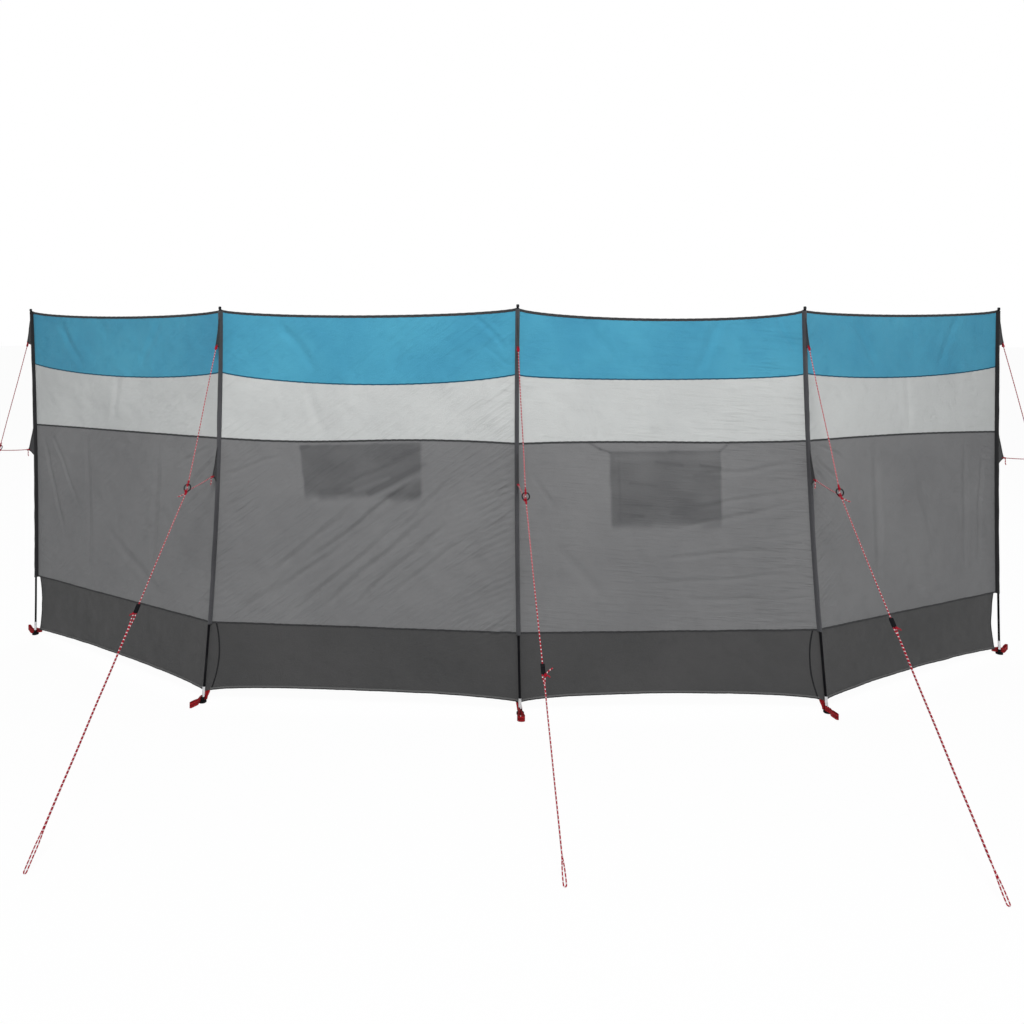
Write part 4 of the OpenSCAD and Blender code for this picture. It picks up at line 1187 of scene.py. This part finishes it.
ring_corners = spots_of("guy_rings")
runner_corners = spots_of("guy_runners")
guy_middles, guy_downs = {}, {}
for n in POLES:
    line = corners_of(f"guy_line_{n}")
    ring = middle_of(ring_corners[nearest_pole(ring_corners) == n])
    # Its own runner is the one close to the ring and to the line from there to the ground
    runner = runner_corners[np.linalg.norm(runner_corners[:, :2] - ring[:2], axis=1) < 0.75]
    to_ground = line[line[:, 2].argmin()] - ring
    gap = np.array([np.linalg.norm(np.cross(to_ground, spot - ring)) for spot in runner])
    middle = middle_of(runner[gap < 0.03])
    lowest = line[line[:, 2] < line[:, 2].min() + 0.0040]
    end = np.array([lowest[:, 0].mean(), lowest[:, 1].mean(), 0.0070])
    tip, low_tip = tab_tips["upper", n], tab_tips["lower", n]
    aim = unit(tip - ring)
    flat_way = np.array([aim[0], aim[1], 0]) / np.linalg.norm(aim[:2])
    wire = unit(np.cross(aim, flat_way))
    foot_of_ring = ring - aim * ring_hold
    down = unit(middle - foot_of_ring)
    to_low = unit(low_tip - foot_of_ring)
    guy_middles[n], guy_downs[n] = middle, down
    made = []

    def add(path, knotted=False):
        made.append(cord_tube(f"cord_{n}_{len(made)}", path, knotted))

    # Upper leg: eyelet loop, knot, cord, knot, hitch on the ring's upper wire
    knot_up = tip - aim * 0.0140
    add(eyelet_loop(tip, knot_up, wire), True)
    add(knot_path(knot_up, aim, 0.0046, n), True)
    add(knot_path(knot_up + aim * 0.0065, aim, 0.0036, n + 3), True)
    knot_ring = ring + aim * (ring_hold + 0.0085)
    add(smooth_path([knot_up, tip + (ring - tip) * 0.35 + wire * 0.0006,
                     tip + (ring - tip) * 0.7 - wire * 0.0006, knot_ring], 0.02))
    add(knot_path(knot_ring, aim, 0.0027, n * 2), True)
    add(hitch(ring + aim * ring_hold, wire, aim), True)
    add(smooth_path([ring + aim * (ring_hold - 0.003), ring + wire * 0.002 + aim * 0.004,
                     ring - wire * 0.001 - aim * 0.005, ring - aim * (ring_hold - 0.003)], 0.003))
    # Lower leg, from the ring's lower wire back to the lower tab
    start = foot_of_ring + to_low * 0.0085
    knot_low = low_tip - to_low * 0.0130
    sag = up * 0.0015
    add(smooth_path([start, start + (knot_low - start) * 0.33 - sag,
                     start + (knot_low - start) * 0.67 - sag, knot_low], 0.015))
    add(eyelet_loop(low_tip, knot_low, np.cross(to_low, up)), True)
    add(knot_path(knot_low, to_low, 0.0038, n), True)
    if n != 3:
        add(loose_end(knot_low, wire, ((0.003, -0.010), (0.002, -0.020), (0.005, -0.030))))
    add(hitch(foot_of_ring, wire, to_low, 1.0), True)
    # Line down from the ring to the runner
    knot_down = foot_of_ring + down * 0.0095
    add(hitch(foot_of_ring + wire * 0.004, wire, down), True)
    add(knot_path(knot_down, down, 0.0028, n + 1), True)
    if n != 3:
        add(loose_end(knot_down, bay_direction(2) * (-1 if n < 3 else 1),
                      ((0.010, -0.004), (0.021, -0.010), (0.029, -0.012))))
    enter = middle - down * 0.0130
    halfway = knot_down + (enter - knot_down) * 0.5 + wire * 0.0008
    add(smooth_path([knot_down, halfway, enter], 0.02))
    # Two strands from the runner to the ground, apart at both ends and side by side between
    level, other = upright_to(down)
    below = middle + down * runner_exit
    run_length = np.linalg.norm(end - below)
    to_end = unit(end - below)
    share = np.linspace(0, 1, 46)
    apart = 0.0019 + 0.0021 * (1 - smooth(0, 0.10, share)) + 0.0021 * smooth(0.80, 0.99, share)
    swing = 0.0005 * np.sin(share * 19) * smooth(0, 0.15, share) * smooth(1, 0.85, share)
    turned = 0.5 * math.pi * smooth(0, 0.08, share) * smooth(0.97, 0.84, share)
    across = np.cos(turned)[:, None] * level + np.sin(turned)[:, None] * other
    line_up = below + to_end * (share * (run_length - 0.004))[:, None]
    one = line_up + across * (apart + swing)[:, None]
    two = line_up - across * (apart - swing)[:, None]
    curl = np.linspace(0, math.pi, 9)[1:-1]
    bend = (end - to_end * 0.004 + level * (0.0040 * np.cos(curl))[:, None]
            + to_end * (0.0040 * np.sin(curl))[:, None])
    add(np.concatenate([one, bend, two[::-1]]))
    # Cord round the back of the runner, its stopper knot and its tail
    face = -other if other[1] < 0 else other
    add(smooth_path([middle - down * 0.012, middle - down * 0.006 + face * 0.0042,
                     middle + down * 0.004 + face * 0.0046, middle + down * 0.012], 0.002))
    tail = level * (1 if n < 3 else -1) * (1 if (level @ bay_direction(2)) < 0 else -1)
    knot_runner = below + to_end * 0.004 + tail * 0.0050
    add(knot_path(knot_runner, down, 0.0038, n + 2), True)
    add(loose_end(knot_runner, tail, ((0.005, -0.001), (0.010, -0.003), (0.014, -0.007))), True)
    if n == 3:
        add(loose_end(knot_runner, tail, ((0.006, 0.008), (0.014, 0.015), (0.022, 0.020))))
    for piece in made:
        piece.select_set(True)
    bpy.context.view_layer.objects.active = made[0]
    bpy.ops.object.join()
    whole = bpy.context.object
    whole.name = whole.data.name = f"guy_cord_{n}"
    put_away(whole, cord_braid)
    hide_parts(f"guy_line_{n}")

# --- Rings and runners -------------------------------------------------------------------------
# The rings are moulded in one piece. A runner is a flat moulded slider, hollowed on both faces
# and narrower at its ends, that grips the line when it is pulled askew.
dress("guy_rings", moulded("ring_plastic", (0.002, 0.002, 0.003), 0.66, 1100))
runner_plastic = moulded("runner_plastic", (0.002, 0.002, 0.003), 0.66, 1100)


def select_faces(piece, chosen):
    """In edit mode, selects only the faces for which chosen(middle, normal) holds."""
    bpy.ops.object.mode_set(mode="OBJECT")
    for part in piece.data.vertices[:] + piece.data.edges[:] + piece.data.polygons[:]:
        part.select = False
    for part in piece.data.polygons:
        part.select = chosen(part.center, part.normal)
    bpy.ops.object.mode_set(mode="EDIT")


bpy.ops.mesh.primitive_cube_add(size=1)
slider = bpy.context.object
slider.name = "slider"
bpy.ops.object.mode_set(mode="EDIT")
bpy.ops.mesh.select_mode(type="FACE")
bpy.ops.transform.resize(value=(0.0058, 0.0128, 0.0296))
bpy.ops.mesh.select_all(action="SELECT")
bpy.ops.mesh.bisect(plane_co=(0, 0, 0.005), plane_no=(0, 0, 1))
bpy.ops.mesh.select_all(action="SELECT")
bpy.ops.mesh.bisect(plane_co=(0, 0, -0.005), plane_no=(0, 0, 1))
select_faces(slider, lambda c, n: abs(n.x) > 0.9 and abs(c.z) < 0.004)
bpy.ops.mesh.inset(thickness=0.0018, depth=-0.0012)
select_faces(slider, lambda c, n: abs(n.z) > 0.9 and abs(c.z) > 0.014)
bpy.ops.mesh.inset(thickness=0.0016)
bpy.ops.mesh.extrude_region_move(MESH_OT_extrude_region={},
                                 TRANSFORM_OT_translate={"value": (0, 0, 0)})
bpy.ops.transform.resize(value=(0.9, 0.9, 0.72))
bpy.ops.object.mode_set(mode="OBJECT")
rounded = slider.modifiers.new("rounded", "BEVEL")
rounded.width = 0.0011
rounded.segments = 3
rounded.limit_method = "ANGLE"
bpy.ops.object.modifier_apply(modifier=rounded.name)
slider_mesh = slider.data
for n in POLES:
    level, other = upright_to(guy_downs[n])
    turn = np.eye(4)
    turn[:3, 0], turn[:3, 1], turn[:3, 2], turn[:3, 3] = other, level, guy_downs[n], guy_middles[n]
    if np.linalg.det(turn[:3, :3]) < 0:
        turn[:3, 0] = -turn[:3, 0]
    copy = slider_mesh.copy()
    copy.transform(Matrix(turn))
    piece = bpy.data.objects.new(f"slide_runner_{n}", copy)
    bpy.context.scene.collection.objects.link(piece)
    bpy.context.view_layer.objects.active = piece
    piece.select_set(True)
    put_away(piece, runner_plastic)
    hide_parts("guy_runners")
bpy.data.objects.remove(slider)

# --- Foot webbing ------------------------------------------------------------------------------
# Red webbing is sewn to the flap's lower corner and comes down behind the pole. A band of it
# passes round the foot's socket, is stitched together and stands out as a loop for a peg.
strap_wide = 0.0196
strap_thick = 0.0013
webbing = tape_finish("webbing_weave", (0.290, 0.004, 0.008), (0.130, 0.002, 0.004))
foot_corners = spots_of("pole_feet")
socket_round = 0.0076
loop_reach = 0.0588
# Half of a peg loop's outline past the socket: out from the foot's middle, and to the side
LOOP_HALF = [(0.0095, 0.0046), (0.0150, 0.0016), (0.0200, 0.0018), (0.0270, 0.0044),
             (0.0360, 0.0053), (0.0460, 0.0053), (0.0530, 0.0050), (0.0568, 0.0036)]


def band(name, path, across):
    """A finished piece of webbing along a path; across is the direction of its width."""
    over = np.linspace(-0.5, 0.5, 5)
    points = path[:, None] + across * (over * strap_wide)[None, :, None]
    mapped = np.stack(np.broadcast_arrays(run_along(path)[:, None], (over + 0.5)[None]), axis=-1)
    piece = shape_grid(name, points, mapped)
    thicken(piece, strap_thick)
    put_away(piece, webbing)
    return piece


for n in POLES:
    base = middle_of(foot_corners[nearest_pole(foot_corners) == n])
    base[2] = 0
    strap = corners_of(f"foot_strap_{n}")
    loop_points = strap[(strap[:, 2] < 0.0205) & (strap[:, 2] > -0.001)]
    far = np.linalg.norm(loop_points[:, :2] - base[:2], axis=1)
    out = loop_points[far > far.max() - 0.004].mean(axis=0) - base
    out[2] = 0
    out = unit(out)
    side = np.cross(up, out)
    back = unit(mitre(n))
    # Round the back of the socket to the loop's near side, out along it and back on the other
    from_back = math.degrees(math.atan2(back @ side, back @ out))
    hand = 1 if from_back >= 0 else -1
    wrap = np.linspace(math.radians(from_back + hand * 25), math.radians(hand * 52), 14)
    plan = [(socket_round * math.cos(a), socket_round * math.sin(a)) for a in wrap]
    plan += [(x, hand * y) for x, y in LOOP_HALF]
    plan += [(loop_reach, hand * 0.0010), (loop_reach, -hand * 0.0010)]
    plan += [(x, -hand * y) for x, y in LOOP_HALF[:1:-1]] + [(0.0150, -hand * 0.0012)]
    # The middle loop lies wide open, and the two end ones rise towards their tips
    spread = 2.6 if n == 3 else 1.0
    plan = [(x, y * (1 + (spread - 1) * min(max((x - 0.018) / 0.03, 0), 1))) for x, y in plan]
    path = smooth_path([base + out * x + side * y for x, y in plan], 0.0022)
    beyond = np.clip((path - base) @ out, 0, 1)
    lift = 0.0046 * smooth(0.024, 0.013, beyond) + 0.0002
    if n in (1, 5):
        lift = lift + 0.011 * smooth(0.026, 0.059, beyond)
    droop = 0.0012 * np.sin(beyond * 70 + n) * smooth(0.02, 0.05, beyond)
    path = path + up * (lift + strap_wide / 2)[:, None] + side * droop[:, None]
    loop = band(f"peg_loop_{n}", path, up)
    if n in (1, 5):
        inward = bay_direction(1) if n == 1 else -bay_direction(4)
        behind_foot = base + back * 0.0100
        path = smooth_path([behind_foot - inward * 0.008 + up * 0.016,
                            behind_foot + inward * 0.004 + up * 0.0162,
                            behind_foot + inward * 0.018 + up * 0.0185,
                            behind_foot + inward * 0.036 + up * 0.0240], 0.003)
        across = up
    else:
        lean = on_pole(n, 0.05) - base
        lean[2] = 0
        shift = {2: bay_direction(2) * 0.010, 3: -bay_direction(2) * 0.005,
                 4: -bay_direction(3) * 0.010}[n]
        path = smooth_path([base + shift * 0.2 + back * 0.0106 + up * 0.0068,
                            base + shift * 0.5 + back * 0.0108 + up * 0.0200,
                            base + lean * 0.7 + shift * 0.9 + back * 0.0118 + up * 0.0360,
                            base + lean + shift + back * 0.0122 + up * 0.0520], 0.003)
        across = np.cross(up, back)
    riser = band(f"flap_strap_{n}", path, across)
    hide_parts(f"foot_strap_{n}")
    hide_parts(f"foot_strap_{n}")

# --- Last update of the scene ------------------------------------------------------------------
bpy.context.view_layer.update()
